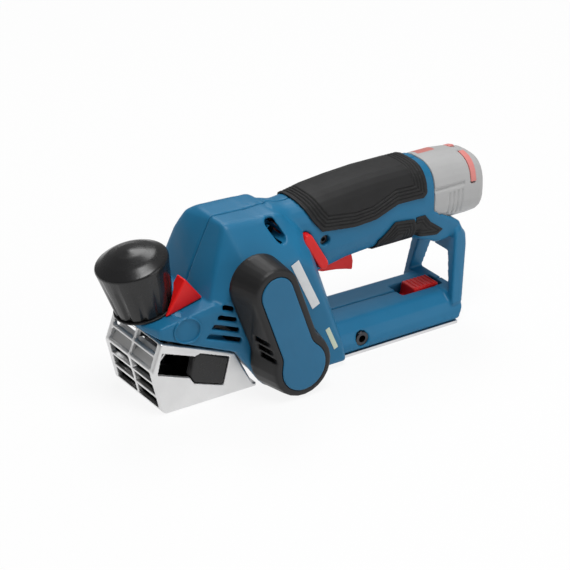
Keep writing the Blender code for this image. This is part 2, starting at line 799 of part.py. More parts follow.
def whole_housing():
    left, right = hood_sides()
    shell = rounded(hull("whole_housing", left, right=right), 2.6)
    deck = rounded(hull("deck", deck_points()), 1.4)
    base = rounded(hull("base", base_points()), 2.0)
    hoop = cut(rounded(hull("hoop", hoop_points()), 2.4), hoop_window())
    tail = rounded(hull("tail", tail_points()), 2.4)
    join(shell, deck, loft("handle", handle_rings()), base, tail, hoop)
    cut(shell, hood_space(), mouth(), handle_space(), base_space())
    cut(
        shell,
        rod(
            "stator_bore",
            (MOTOR_X, -STATOR_HALF - 1, MOTOR_Z),
            Y_AXIS,
            STATOR_RADIUS + GAP,
            2 * STATOR_HALF + 2,
        ),
    )
    bore = MOTOR_BEARING_RADIUS + GAP
    start = INNER - 6.9
    for side in (LEFT, RIGHT):
        cut(
            shell,
            rod(
                f"motor_bore_{side}",
                (MOTOR_X, side * start, MOTOR_Z),
                (0, side, 0),
                bore,
                6.0 + GAP,
                steps=FEW,
            ),
        )
    cut(
        shell,
        rod(
            "shaft_hole_high",
            (MOTOR_X, -INNER + 9, MOTOR_Z),
            (0, -1, 0),
            MOTOR_SHAFT + 1.2,
            20,
            steps=FEW,
        ),
    )
    cut(
        shell,
        rod("shaft_hole_low", (DRUM_X, -INNER + 4, DRUM_Z), (0, -1, 0), DRUM_SHAFT + 2.0, 20, steps=FEW),
    )
    cut(shell, rod("knob_hole", on_knob_axis(-40), LEAN, SPINDLE + GAP, 60, steps=FEW))
    cut(shell, *louvres())
    cut(shell, hood_pocket())
    cut(shell, *screw_holes())
    cut(shell, prism("lock_slot", lock_outline(GAP), -40, 40))
    x, z = TRIGGER_PIVOT
    cut(
        shell,
        box(
            "trigger_slot",
            (x - 3.6, x + 33.5),
            (-TRIGGER_HALF - 0.4, TRIGGER_HALF + 0.4),
            (z - 12, z + 11),
        ),
    )
    cut(shell, loft("battery_bay", [battery_ring(HANDLE_END, 0.5), battery_ring(HANDLE_END + 90, 0.5)]))
    cut(shell, loft("stick_bay", [stick_ring(HANDLE_END - 9, GAP), stick_ring(HANDLE_END + 9, GAP)]))
    cut(shell, rest_room())
    cut(shell, rod("rest_pin_hole", (REST_PIVOT[0], -13, REST_PIVOT[1]), Y_AXIS, 1.8, 26, steps=FEW))
    inward = SHOE_WIDTH / 2 - 15.0
    cut(
        shell,
        rod(
            "guide_hole",
            (GUIDE_HOLE[0], -inward - 45, GUIDE_HOLE[1]),
            Y_AXIS,
            GUIDE_RADIUS + GAP,
            45,
            steps=FEW,
        ),
    )
    for i, x in enumerate(SOLE_SCREWS):
        cut(shell, rod(f"sole_screw_hole_{i}", (x, 0, -5), Z_AXIS, 1.9, 18, steps=FEW))
    cut(shell, rod("outlet_hole", (OUTLET[0], INNER - 3, OUTLET[1]), Y_AXIS, OUTLET_RADIUS + GAP, 20))
    for i, (x, z) in enumerate(cover_screw_spots()):
        cut(shell, rod(f"cover_hole_{i}", (x, -BODY_HALF - 2, z), Y_AXIS, 1.9, 12, steps=FEW))
    return shell


def housing_half(side, name, whole):
    """One clamshell: the whole housing on its side of the middle plane."""
    y = sorted((side * GAP / 2, side * 80))
    return keep(box(name, (-60, 330), y, (-20, 160), BLUE), whole)


# ---------------------------------------------------------------- grips


def grip(name, outline):
    """A soft skin over the part of the handle inside the outline."""
    skin = smooth(loft(name, handle_rings(GRIP_THICK + GAP), BLACK), 40)
    keep(skin, prism(f"{name}_region", outline, -60, 60))
    cut(skin, loft(f"{name}_core", [ring for ring in handle_rings(GAP)]))
    return skin


def grip_top():
    low = HANDLE_TOP - 27.0
    outline = [(114, 130), (114.8, 111), (120, 100), (126.5, low + 2.5), (152, low), (168, low + 1)]
    outline += [
        (186, low + 7.5), (HANDLE_END - 10, low + 7), (HANDLE_END - 7, low + 10), (HANDLE_END - 7, 130)
    ]
    skin = grip("grip_top", outline)
    x, z = HANDLE_SCREW
    return cut(skin, rod("grip_screw_room", (x, -40, z), Y_AXIS, 4.4, 80, steps=FEW))


def grip_bottom():
    low = HANDLE_LOW
    outline = [
        (171.5, low - 12),
        (171.5, low + 8.5),
        (184, low + 20.5),
        (HANDLE_END - 17, low + 18.5),
        (HANDLE_END - 14.5, low + 12),
        (HANDLE_END - 14.5, low - 12),
    ]
    return grip("grip_bottom", outline)


# ---------------------------------------------------------------- soles, frame, drum


def rear_sole():
    half = SHOE_WIDTH / 2
    sole = box("rear_sole", (REAR_SOLE_START, BASE_LENGTH), (-half, half), (0, SOLE_THICK), ALUMINIUM)
    slot = box(
        "rest_slot",
        (REST_PIVOT[0] + 5.5, BASE_LENGTH - 1.8),
        (-REST_HALF - 0.5, REST_HALF + 0.5),
        (-3, 9),
    )
    cut(sole, slot)
    for i, x in enumerate(SOLE_SCREWS):
        cone = [(-1, 0), (-1, 4.9), (SOLE_THICK, 1.9), (SOLE_THICK + 2, 1.9), (SOLE_THICK + 2, 0)]
        cut(sole, turned(f"sole_sink_{i}", (x, 0, 0), Z_AXIS, cone, steps=FEW))
    return sole


def sole_screw(name, x):
    profile = [(0.2, 0), (0.2, 3.6), (SOLE_THICK - 0.1, 1.6), (12, 1.6), (12, 0)]
    return turned(name, (x, 0, 0), Z_AXIS, profile, STEEL, FEW)


def frame_plate():
    """Outline of the frame: FRAME_WALL and more round the room for the cutter."""
    r = FRAME_INNER
    x, z = DRUM_X, DRUM_Z
    return [
        (x + r + 1.0, FLOOR_TOP + GAP),
        (x + r + 2.5, z),
        (x + r - 0.8, z + 13.5),
        (x + 13.5, z + r - 1.3),
        (x, FRAME_TOP),
        (x - 13, z + r - 0.8),
        (x - r + 2.9, z + 13.5),
        (x - r + 3.3, z + 1.5),
        (HOOD_TOE + 18.2, 3.0),
        (REAR_SOLE_START - 1, 3.0),
        (REAR_SOLE_START - 1, FLOOR_TOP + GAP),
    ]


def drum_frame():
    """Die-cast cheeks and hood round the cutter, with the chip window at the top."""
    outer = FRAME_FACE + FRAME_WALL
    frame = prism("drum_frame", frame_plate(), -outer, outer, ALUMINIUM)
    room = arc(DRUM_X, DRUM_Z, FRAME_INNER, -90, 205, 24)
    room += [(58, 8), (58, -6), (DRUM_X, -6)]
    cut(frame, prism("frame_room", room, -FRAME_FACE, FRAME_FACE))
    cut(frame, box("frame_mouth", (DRUM_X, 108.5), (-FRAME_FACE, FRAME_FACE), (-5, DRUM_Z)))
    cut(frame, box("chip_window", (80, 104), (2, FRAME_FACE - 2), (30, 60)))
    for side in (LEFT, RIGHT):
        boss = rod(
            f"frame_boss_{side}",
            (DRUM_X, side * (outer - 1), DRUM_Z),
            (0, side, 0),
            BEARING_RADIUS + 3,
            INNER - outer + 0.7,
        )
        join(frame, boss)
    cut(frame, rod("bearing_bore", (DRUM_X, -60, DRUM_Z), Y_AXIS, BEARING_RADIUS + GAP, 120))
    return frame


def bearing(name, x, z, side, bore, outer, width, start):
    piece = sleeve(name, (x, side * start, z), (0, side, 0), bore, outer, width, STEEL)
    return piece


def pocket_box(name, across, out, y, finish=None):
    """A bar in the drum's blade pocket: across and out are sizes from the drum's axis."""
    lean = math.radians(62)
    up = (math.cos(lean), math.sin(lean))
    over = (-up[1], up[0])
    outline = [
        (DRUM_X + a * over[0] + r * up[0], DRUM_Z + a * over[1] + r * up[1])
        for a, r in ((across[0], out[0]), (across[1], out[0]), (across[1], out[1]), (across[0], out[1]))
    ]
    return prism(name, outline, *y, finish)


def cutter_drum():
    half = DRUM_WIDTH / 2
    left, right = -(BODY_HALF + 14), INNER - 1.2
    profile = [
        (left, 0),
        (left, DRUM_SHAFT),
        (-half - 0.8, DRUM_SHAFT),
        (-half - 0.8, 6),
        (-half, 6),
        (-half, DRUM_RADIUS),
        (half, DRUM_RADIUS),
        (half, 6),
        (half + 0.8, 6),
        (half + 0.8, DRUM_SHAFT),
        (right, DRUM_SHAFT),
        (right, 0),
    ]
    drum = turned("cutter_drum", (DRUM_X, 0, DRUM_Z), Y_AXIS, profile, DARK_STEEL)
    return cut(drum, pocket_box("blade_pocket", (-1.0, 10.0), (11, 30), (-half - 3, half + 3)))


def planer_blade():
    half = DRUM_WIDTH / 2 - 0.2
    return pocket_box("planer_blade", (-0.7, 0.5), (12.5, CUT_RADIUS - 0.1), (-half, half), STEEL)


def blade_clamp():
    half = DRUM_WIDTH / 2 - 0.2
    clamp = pocket_box("blade_clamp", (0.8, 9.7), (11.3, 18.6), (-half, half), ALUMINIUM)
    for i in (-1, 0, 1):
        hole = clamp_screw_rod(f"clamp_hole_{i}", i, 1.9 + GAP, None)
        cut(clamp, hole)
    return clamp


def clamp_screw_rod(name, place, radius, finish):
    lean = math.radians(62)
    up = (math.cos(lean), 0, math.sin(lean))
    across = 5.4
    foot = 11.4 if finish else 9.0
    base = (
        DRUM_X - across * up[2] + foot * up[0],
        place * DRUM_WIDTH / 3,
        DRUM_Z + across * up[0] + foot * up[2],
    )
    return rod(name, base, up, radius, 7.6 if finish else 14, finish, FEW)


# ---------------------------------------------------------------- motor and belt


def flanged(name, x, z, radius, bore):
    """A belt pulley: a smooth face between two low flanges."""
    start = BODY_HALF + 2.4
    wide = BELT_WIDTH + 0.8
    rim = radius + 1.4
    profile = [
        (0, bore),
        (0, rim),
        (1.0, rim),
        (1.0, radius),
        (1.0 + wide, radius),
        (1.0 + wide, rim),
        (2.0 + wide, rim),
        (2.0 + wide, bore),
    ]
    return turned(name, (x, -start, z), (0, -1, 0), profile, DARK_STEEL, 24)


def drive_belt():
    y1 = -(BODY_HALF + 2.4 + 1.4)
    y0 = y1 - BELT_WIDTH
    low, high = DRUM_PULLEY + GAP, MOTOR_PULLEY + GAP
    belt = prism("drive_belt", belt_outline(low + BELT_THICK, high + BELT_THICK), y0, y1, BLACK)
    return cut(belt, prism("belt_inside", belt_outline(low, high), y0 - 2, y1 + 2))


def motor_stator():
    y = -STATOR_HALF
    stator = sleeve(
        "motor_stator",
        (MOTOR_X, y, MOTOR_Z),
        Y_AXIS,
        ROTOR_RADIUS + 0.6,
        STATOR_RADIUS,
        2 * STATOR_HALF,
        COPPER,
    )
    return stator


def motor_rotor():
    return sleeve(
        "motor_rotor",
        (MOTOR_X, -STATOR_HALF - 1, MOTOR_Z),
        Y_AXIS,
        MOTOR_SHAFT + GAP,
        ROTOR_RADIUS,
        2 * STATOR_HALF + 2,
        DARK_STEEL,
        24,
    )


def motor_shaft():
    left, right = -(BODY_HALF + 13.6), INNER - 1.4
    return rod("motor_shaft", (MOTOR_X, left, MOTOR_Z), Y_AXIS, MOTOR_SHAFT, right - left, STEEL, FEW)


def cooling_fan():
    start = STATOR_HALF + 3.5
    fan = sleeve(
        "cooling_fan",
        (MOTOR_X, start, MOTOR_Z),
        Y_AXIS,
        MOTOR_SHAFT + GAP,
        STATOR_RADIUS - 1.5,
        1.6,
        BLACK,
        24,
    )
    join(
        fan,
        sleeve("fan_hub", (MOTOR_X, start + 0.5, MOTOR_Z), Y_AXIS, MOTOR_SHAFT + GAP, 6, 8, steps=FEW),
    )
    for i in range(8):
        a = math.tau * i / 8
        c, s = math.cos(a), math.sin(a)
        outline = [
            (MOTOR_X + r * c - t * s, MOTOR_Z + r * s + t * c)
            for r, t in ((5, -0.8), (17, -0.8), (17, 0.8), (5, 0.8))
        ]
        join(fan, prism(f"fan_blade_{i}", outline, start + 1, start + 7.5))
    return fan


def cover_ring(y, high_radius, low_radius, share):
    """The cover's outline at depth y: share 0 is at the housing, 1 at its face."""
    high = (64.5 + 3.0 * share, 79.5 - share)
    low = (DRUM_X - 0.5 + 2.5 * share, 26.2 - 3.5 * share)
    return [at(x, y, z) for x, z in keyhole(high, high_radius, low, low_radius)]


def cover_screw_spots():
    return ((80.0, 62.0), (74.0, 41.0))


def belt_cover():
    foot = -(BODY_HALF + GAP)
    face = -COVER_FACE
    rings = [
        cover_ring(foot, 19.8, 24.8, 0.0),
        cover_ring(foot - 2.5, 19.8, 24.8, 0.0),
        cover_ring(face + 2.2, 16.9, 21.5, 0.9),
        cover_ring(face + 0.5, 16.2, 20.9, 1.0),
        cover_ring(face, 15.2, 19.9, 1.0),
    ]
    w = COVER_WALL
    inner = [
        cover_ring(foot + 2, 19.8 - w, 24.8 - w, 0.0),
        cover_ring(foot - 2.5, 19.6 - w, 24.6 - w, 0.0),
        cover_ring(face + 4.6, 16.9 - w, 21.5 - w, 0.9),
    ]
    cover = smooth(loft("belt_cover", rings, BLACK), 25)
    room = loft("cover_room", inner)
    for i, (x, z) in enumerate(cover_screw_spots()):
        cut(room, rod(f"cover_boss_{i}", (x, -80, z), Y_AXIS, 3.6, 80, steps=FEW))
    cut(cover, room)
    seat = [at(x, y, z) for y in (face - 1, face + PLATE_THICK - 0.4) for x, z in plate_outline(GAP)]
    count = len(seat) // 2
    cut(cover, loft("plate_seat", [seat[:count], seat[count:]]))
    for i in range(3):
        x, z = 47.0 + 2.3 * i, 52.6 - 6.4 * i
        outline = [(x, z + 2.0), (x + 15.5, z - 7.0), (x + 16.0, z - 10.6), (x + 0.6, z - 1.9)]
        cut(cover, prism(f"cover_vent_{i}", outline, face - 3, face + 12.5))
    for i, (x, z) in enumerate(cover_screw_spots()):
        step = [(-40, 0), (-40, 1.9), (0, 1.9), (0, 3.3), (20, 3.3), (20, 0)]
        cut(cover, turned(f"cover_screw_hole_{i}", (x, face + 4, z), (0, -1, 0), step, steps=FEW))
    return cover


def plate_outline(grow=0.0):
    return keyhole((67.5, 78.5), 11.6 + grow, (DRUM_X + 2.4, 22.2), 16.4 + grow)


def belt_cover_plate():
    face = -COVER_FACE
    plate = prism("belt_cover_plate", plate_outline(), face - 0.4, face + PLATE_THICK - 0.7, BLUE)
    return rounded(plate, 0.4, 1)


# ---------------------------------------------------------------- controls and electrics


def trigger():
    x, z = TRIGGER_PIVOT
    outline = [
        (x - 3, z - 3.2),
        (x + 7, z - 7.6),
        (x + 18, z - 9.0),
        (x + 26, z - 10.8),
        (x + 31.0, z - 12.4),
        (x + 31.6, z - 6.0),
        (x + 30.4, z - 0.5),
        (x + 27, z + 2.6),
        (x + 12, z + 4.4),
        (x - 2, z + 3.4),
    ]
    return rounded(prism("trigger", outline, -TRIGGER_HALF, TRIGGER_HALF, RED), 1.0, 2)


def lock_off_button():
    half = HANDLE_WIDTH / 2 + 2.2
    button = prism("lock_off_button", lock_outline(), -half, half, RED)
    return rounded(button, 0.9, 2)


def switch_module():
    return rounded(box("switch_module", SWITCH, (-9, 9), (75.5, 90.5), BLACK), 0.8, 1)


def coil(name, base, radius, wire, turns, length, finish):
    """A helical spring standing on base, as a tube swept along its wire."""
    sides, per_turn = 5, 10
    rings = []
    for i in range(turns * per_turn + 1):
        a = math.tau * i / per_turn
        out = Vector((math.cos(a), math.sin(a), 0))
        middle = at(*base) + (out * radius + Vector((0, 0, length * i / (turns * per_turn)))) * MM
        ring = []
        for k in range(sides):
            b = math.tau * k / sides
            ring.append(middle + (out * math.cos(b) + Vector((0, 0, math.sin(b)))) * wire * MM)
        rings.append(ring)
    return smooth(loft(name, rings, finish), 60)


def trigger_spring():
    x, z = TRIGGER_PIVOT
    foot = z + 5.0
    return coil("trigger_spring", (x + 18, 0, foot), 2.4, 0.45, 4, 75.5 - foot - 1.0, STEEL)


def control_board():
    x = MOTOR_X + 23.4
    return rounded(box("control_board", (x, x + 9), (-15, 15), (62, 88), GREEN), 0.6, 1)


def battery_terminals():
    return box("battery_terminals", (TERMINAL_X, TERMINAL_X + 2.2), (-11, 11), (82, 104), BRASS)


def battery_pack():
    start = HANDLE_END + GAP
    end = start + BATTERY_LENGTH
    rings = [
        battery_ring(start),
        battery_ring(end - 26),
        battery_ring(end - 12, 0, 0.97, 0.8),
        battery_ring(end - 4, 0, 0.92, 1.6),
        battery_ring(end - 1, 0, 0.85, 2.2),
        battery_ring(end, 0, 0.76, 2.4),
    ]
    pack = smooth(loft("battery_pack", rings, GREY), 30)
    stick = loft("battery_stick", [stick_ring(start - STICK_LENGTH), stick_ring(start + 4)])
    join(pack, stick)
    for side in (LEFT, RIGHT):
        cut(pack, release_tab_shape(f"release_seat_{side}", side, GAP, None))
    return pack


def release_tab_shape(name, side, grow, finish):
    """A strip across one upper shoulder of the battery's cap."""
    x0 = HANDLE_END + BATTERY_LENGTH - 12.5 - grow
    x1 = x0 + 4.2 + 2 * grow
    out = 6.0 if grow else 0.1
    travel = RELEASE_TRAVEL + grow if grow else 0.0
    deep = RELEASE_THICK + travel
    skin = [battery_ring(x, out, 0.97, 0.8) for x in (x0, x1)]
    strip = loft(name, skin, finish)
    across = sorted((side * (5 - travel), side * 40))
    keep(strip, box(f"{name}_span", (x0 - 1, x1 + 1), across, (97 - travel, 140)))
    return cut(strip, loft(f"{name}_core", [battery_ring(x, -deep, 0.97, 0.8) for x in (x0 - 2, x1 + 2)]))


def battery_release(side, name):
    return release_tab_shape(name, side, 0.0, PALE_RED)


# ---------------------------------------------------------------- rest, inserts, screws


def park_rest():
    x, z = REST_PIVOT
    top = BASE_TOP
    outline = [
        (x - 3.4, z),
        (x + 4, z + 4.2),
        (x + 5.5, top + 0.6),
        (x + 25.5, top + 0.6),
        (x + 25.5, z + 4),
        (x + 22.0, z + 2),
        (x + 21.4, 0.6),
        (x + 15.0, 0.6),
        (x + 13.0, z - 2.6),
        (x, z - 3.4),
    ]
    lever = rounded(prism("park_rest", outline, -REST_HALF, REST_HALF, RED), 0.6, 1)
    for i in range(6):
        start = x + 8 + i * 3.0
        cut(
            lever,
            box(
                f"rest_rib_{i}",
                (start, start + 1.1),
                (-REST_HALF - 2, REST_HALF + 2),
                (top - 0.2, top + 3),
            ),
        )
    return cut(lever, rod("rest_bore", (x, -20, z), Y_AXIS, 1.5 + GAP, 40, steps=FEW))


def park_rest_pin():
    return rod("park_rest_pin", (REST_PIVOT[0], -12.6, REST_PIVOT[1]), Y_AXIS, 1.5, 25.2, STEEL, FEW)


def guide_insert():
    start = SHOE_WIDTH / 2 - 1.5
    return sleeve(
        "guide_insert",
        (GUIDE_HOLE[0], -start, GUIDE_HOLE[1]),
        Y_AXIS,
        2.6,
        GUIDE_RADIUS,
        13,
        DARK_STEEL,
        FEW,
    )


def housing_screw(name, spot, side):
    profile = [
        (-9.3, 0), (-9.3, 1.6), (9.3, 1.6), (9.3, 3.2), (12.2, 3.2), (12.2, 1.2), (11.2, 1.2), (11.2, 0)
    ]
    return turned(name, (spot[0], 0, spot[1]), (0, side, 0), profile, DARK_STEEL, FEW)


def cover_screw(name, spot):
    head = COVER_FACE - 4.0 + GAP
    profile = [(0, 0), (0, 3.0), (2.0, 3.0), (2.0, 1.6), (head - INNER + 4, 1.6), (head - INNER + 4, 0)]
    return turned(name, (spot[0], -head - 2, spot[1]), Y_AXIS, profile, STEEL, FEW)


def chip_outlet():
    start = INNER + 0.4
    r = OUTLET_RADIUS
    profile = [
        (0, r - 2),
        (0, r),
        (WALL + 0.2, r),
        (WALL + 0.2, r + 2),
        (WALL + 2.2, r + 2),
        (WALL + 2.2, r),
        (WALL + 9, r - 0.4),
        (WALL + 9, r - 2),
    ]
    return turned("chip_outlet", (OUTLET[0], start, OUTLET[1]), Y_AXIS, profile, BLACK, 24)


# ---------------------------------------------------------------- the planer


def fixed_pieces():
    whole = whole_housing()
    housing_half(LEFT, "housing_left", whole)
    housing_half(RIGHT, "housing_right", whole)
    rear_sole()
    drum_frame()
    grip_top()
    grip_bottom()
    depth_pointer()
    belt_cover()
    belt_cover_plate()
    drive_belt()
    motor_stator()
    switch_module()
    trigger_spring()
    control_board()
    battery_terminals()
    park_rest_pin()
    guide_insert()
    chip_outlet()
    for side, word in ((LEFT, "left"), (RIGHT, "right")):
        bearing(
            f"drum_bearing_{word}",
            DRUM_X,
            DRUM_Z,
            side,
            DRUM_SHAFT + GAP,
            BEARING_RADIUS,
            BEARING_WIDTH,
            FRAME_FACE + 0.3,
        )
        bearing(
            f"motor_bearing_{word}",
            MOTOR_X,
            MOTOR_Z,
            side,
            MOTOR_SHAFT + GAP,
            MOTOR_BEARING_RADIUS,
            MOTOR_BEARING_WIDTH,
            INNER - 6.3,
        )
    housing_screw("hood_screw", HOOD_SCREW, LEFT)
    housing_screw("handle_screw", HANDLE_SCREW, LEFT)
    housing_screw("tail_screw", TAIL_SCREW, RIGHT)
    housing_screw("base_screw_front", BASE_SCREWS[0], RIGHT)
    housing_screw("base_screw_rear", BASE_SCREWS[1], RIGHT)
    sole_screw("sole_screw_front", SOLE_SCREWS[0])
    sole_screw("sole_screw_rear", SOLE_SCREWS[1])
    cover_screw("cover_screw_high", cover_screw_spots()[0])
    cover_screw("cover_screw_low", cover_screw_spots()[1])


def moving_pieces():
    shoe = [
        front_shoe(),
        shoe_guide(LEFT, "shoe_guide_left"),
        shoe_guide(RIGHT, "shoe_guide_right"),
        depth_nut(),
    ]
    swing_from("shoe_slide", on_knob_axis(-64), shoe)
    swing_from("knob_axis", on_knob_axis(0), [depth_knob(), knob_spindle(), depth_scale_ring()])
    screws = [clamp_screw_rod(f"clamp_screw_{i + 2}", i, 1.9, STEEL) for i in (-1, 0, 1)]
    drum_pulley = flanged("drum_pulley", DRUM_X, DRUM_Z, DRUM_PULLEY, DRUM_SHAFT + GAP)
    swing_from(
        "drum_axis",
        (DRUM_X, 0, DRUM_Z),
        [cutter_drum(), planer_blade(), blade_clamp(), drum_pulley, *screws],
    )
    motor_pulley = flanged("motor_pulley", MOTOR_X, MOTOR_Z, MOTOR_PULLEY, MOTOR_SHAFT + GAP)
    swing_from(
        "motor_axis", (MOTOR_X, 0, MOTOR_Z), [motor_rotor(), motor_shaft(), cooling_fan(), motor_pulley]
    )
    swing_from("trigger_axis", (TRIGGER_PIVOT[0], 0, TRIGGER_PIVOT[1]), [trigger()])
    swing_from("lock_slide", (LOCK_LOW[0], 0, LOCK_LOW[1]), [lock_off_button()])
    swing_from("rest_axis", (REST_PIVOT[0], 0, REST_PIVOT[1]), [park_rest()])
    swing_from("battery_slide", (HANDLE_END, 0, (BATTERY_LOW + HANDLE_TOP) / 2), [battery_pack()])
    for side, word in ((LEFT, "left"), (RIGHT, "right")):
        tab = battery_release(side, f"battery_release_{word}")
        swing_from(f"release_slide_{word}", (HANDLE_END + BATTERY_LENGTH - 15, side * 14, 108), [tab])


def main():
    for obj in list(bpy.data.objects):
        bpy.data.objects.remove(obj)
    fixed_pieces()
    moving_pieces()


main()
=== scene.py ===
# %% [markdown]
# # A cordless hand planer: finishes and fine detail
# The CAD frame already has every working piece at its size and place. This lesson gives the
# pieces the soft edges, grain, grooves and labels that moulding, casting and machining leave.
# Everything is in metres: +X runs from the front shoe to the battery and +Z is up. Places are
# written in millimetres from the toe, as one would read them off a ruler laid along the tool.

import json
import math

import bpy
import numpy as np
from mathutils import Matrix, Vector
from mathutils.bvhtree import BVHTree


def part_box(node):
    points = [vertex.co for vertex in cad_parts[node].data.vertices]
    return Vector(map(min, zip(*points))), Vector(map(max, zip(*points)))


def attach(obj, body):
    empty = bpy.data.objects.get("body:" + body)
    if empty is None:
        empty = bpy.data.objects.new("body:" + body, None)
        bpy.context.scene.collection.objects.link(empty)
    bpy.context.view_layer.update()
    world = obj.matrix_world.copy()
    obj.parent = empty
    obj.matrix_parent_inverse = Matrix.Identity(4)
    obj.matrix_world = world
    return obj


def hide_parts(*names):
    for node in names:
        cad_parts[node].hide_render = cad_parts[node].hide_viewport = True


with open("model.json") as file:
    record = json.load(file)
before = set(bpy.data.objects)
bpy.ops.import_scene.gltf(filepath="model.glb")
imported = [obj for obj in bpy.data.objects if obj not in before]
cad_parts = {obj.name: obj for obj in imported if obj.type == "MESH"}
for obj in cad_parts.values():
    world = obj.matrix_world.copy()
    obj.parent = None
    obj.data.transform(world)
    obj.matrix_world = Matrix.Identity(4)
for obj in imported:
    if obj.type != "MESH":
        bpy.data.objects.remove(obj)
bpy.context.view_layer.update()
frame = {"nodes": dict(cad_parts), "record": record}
nodes = frame["nodes"]
MM = 0.001
TOE = -0.16475  # where the front tip of the shoe stands on X
bpy.ops.object.select_all(action="DESELECT")


# %% Millimetres from the toe
def spot(x, y, z):
    """A point given in millimetres behind the toe, to the right and up."""
    return Vector((TOE + x * MM, y * MM, z * MM))


def in_millimetres(points):
    """How far each point lies behind the toe, to the right and up."""
    return (points[:, 0] - TOE) / MM, points[:, 1] / MM, points[:, 2] / MM


# %% [markdown]
# ## Camera
# A long lens from the front left, a little above the tool. The tool sits slightly off the
# middle of the frame, which a small lens shift gives without turning the camera.

# %% Camera
AZIMUTH = math.radians(-33.53)
ELEVATION = math.radians(26.49)
DISTANCE = 1.57285
LENS = 151.58
SHIFT = (-0.0087, 0.0186)
target = spot(116, 0, 40)
level = math.cos(ELEVATION)
back = Vector((math.sin(AZIMUTH) * level, -math.cos(AZIMUTH) * level, math.sin(ELEVATION)))

bpy.ops.object.camera_add(location=target + back * DISTANCE)
camera = bpy.context.object
camera.rotation_mode = "QUATERNION"
camera.rotation_quaternion = (-back).to_track_quat("-Z", "Y")
camera.data.sensor_width = 36.0
camera.data.lens = LENS
camera.data.shift_x, camera.data.shift_y = SHIFT
camera.data.clip_start = 0.05
camera.data.clip_end = 20.0
bpy.context.scene.camera = camera
bpy.context.scene.view_settings.view_transform = "Standard"
print("camera at", [round(v, 3) for v in camera.location])

# %% [markdown]
# ## Shader arithmetic
# A material could be wired by hand in the node editor, but it is easier to read as a sum than
# as a web. Value wraps one output socket, so that + - and * on it add Math nodes, and
# Finish.node adds any other kind of node.


# %% One socket that takes part in sums
class Value:
    """One output socket of a finish. Arithmetic on it adds Math nodes."""

    def __init__(self, finish, socket):
        self.finish = finish
        self.socket = socket

    def maths(self, operation, first, second=0.0):
        settings = {"operation": operation}
        return self.finish.node("ShaderNodeMath", settings, {0: first, 1: second})

    def __add__(self, other):
        return self.maths("ADD", self, other)

    def __radd__(self, other):
        return self.maths("ADD", other, self)

    def __sub__(self, other):
        return self.maths("SUBTRACT", self, other)

    def __rsub__(self, other):
        return self.maths("SUBTRACT", other, self)

    def __mul__(self, other):
        return self.maths("MULTIPLY", self, other)

    def __rmul__(self, other):
        return self.maths("MULTIPLY", other, self)

    def above(self, limit):
        return self.maths("GREATER_THAN", self, limit)

    def below(self, limit):
        return self.maths("LESS_THAN", self, limit)

    def size(self):
        return self.maths("ABSOLUTE", self)

    def clamped(self):
        return self.finish.node("ShaderNodeClamp", {}, {"Value": self})


# %% A material round one surface
class Finish:
    """A material built node by node round one Principled surface."""

    def __init__(
        self, name, roughness=0.5, metallic=0.0, coat=0.0, coat_roughness=0.2, specular=0.5
    ):
        self.material = bpy.data.materials.new(name)
        self.material.use_nodes = True
        self.tree = self.material.node_tree
        self.tree.nodes.clear()
        self.surface = self.tree.nodes.new("ShaderNodeBsdfPrincipled")
        self.output = self.tree.nodes.new("ShaderNodeOutputMaterial")
        self.tree.links.new(self.surface.outputs[0], self.output.inputs[0])
        for socket, value in (
            ("Roughness", roughness),
            ("Metallic", metallic),
            ("Coat Weight", coat),
            ("Coat Roughness", coat_roughness),
            ("Specular IOR Level", specular),
        ):
            self.surface.inputs[socket].default_value = value
        self.place = self.node("ShaderNodeTexCoord", output="Object")

    def node(self, kind, settings=None, inputs=None, output=0):
        """Adds a node: its settings come first, then the values or links of its sockets."""
        made = self.tree.nodes.new(kind)
        for name, value in (settings or {}).items():
            setattr(made, name, value)
        for name, value in (inputs or {}).items():
            if isinstance(value, Value):
                self.tree.links.new(value.socket, made.inputs[name])
            else:
                made.inputs[name].default_value = value
        return Value(self, made.outputs[output])

    def noise(self, scale, detail=2.0, roughness=0.5, place=None):
        sockets = {"Vector": place or self.place, "Scale": scale}
        sockets.update({"Detail": detail, "Roughness": roughness})
        return self.node("ShaderNodeTexNoise", {}, sockets)

    def stretched(self, x, y, z):
        """Object coordinates squeezed along each axis."""
        return self.node("ShaderNodeMapping", {}, {"Vector": self.place, "Scale": (x, y, z)})

    def axes(self):
        """X, Y and Z of the point, in metres."""
        parts = self.tree.nodes.new("ShaderNodeSeparateXYZ")
        self.tree.links.new(self.place.socket, parts.inputs[0])
        return [Value(self, socket) for socket in parts.outputs]

    def between(self, value, low, high):
        """0 at low rising to 1 at high."""
        sockets = {"Value": value, "From Min": low, "From Max": high}
        return self.node("ShaderNodeMapRange", {}, sockets)

    def mix(self, share, first, second):
        """A colour between two, by a share from 0 to 1."""
        made = self.tree.nodes.new("ShaderNodeMix")
        made.data_type = "RGBA"
        for index, value in ((0, share), (6, first), (7, second)):
            if isinstance(value, Value):
                self.tree.links.new(value.socket, made.inputs[index])
            else:
                made.inputs[index].default_value = (*value, 1.0) if index else value
        return Value(self, made.outputs[2])

    def attribute(self, name):
        return self.node("ShaderNodeAttribute", {"attribute_name": name}, output="Fac")

    def feed(self, socket, value):
        self.tree.links.new(value.socket, self.surface.inputs[socket])

    def colour_so_far(self):
        """What feeds Base Color now, to be mixed with more."""
        return Value(self, self.surface.inputs["Base Color"].links[0].from_socket)

    def bump(self, height, distance, strength=1.0):
        sockets = {"Height": height, "Distance": distance, "Strength": strength}
        self.feed("Normal", self.node("ShaderNodeBump", {}, sockets))


print("finish tools ready")

# %% [markdown]
# ## Plastic and rubber
# Moulded plastic is never one flat colour: the mould is spark-eroded, so the skin has a fine
# orange-peel grain, the gloss drifts over a hand's width, and corners polish with use. An
# image could carry all this, but it would need every piece unwrapped. Noise in object space
# needs no unwrapping, so each finish mixes it with the wear value that the mesh stores.

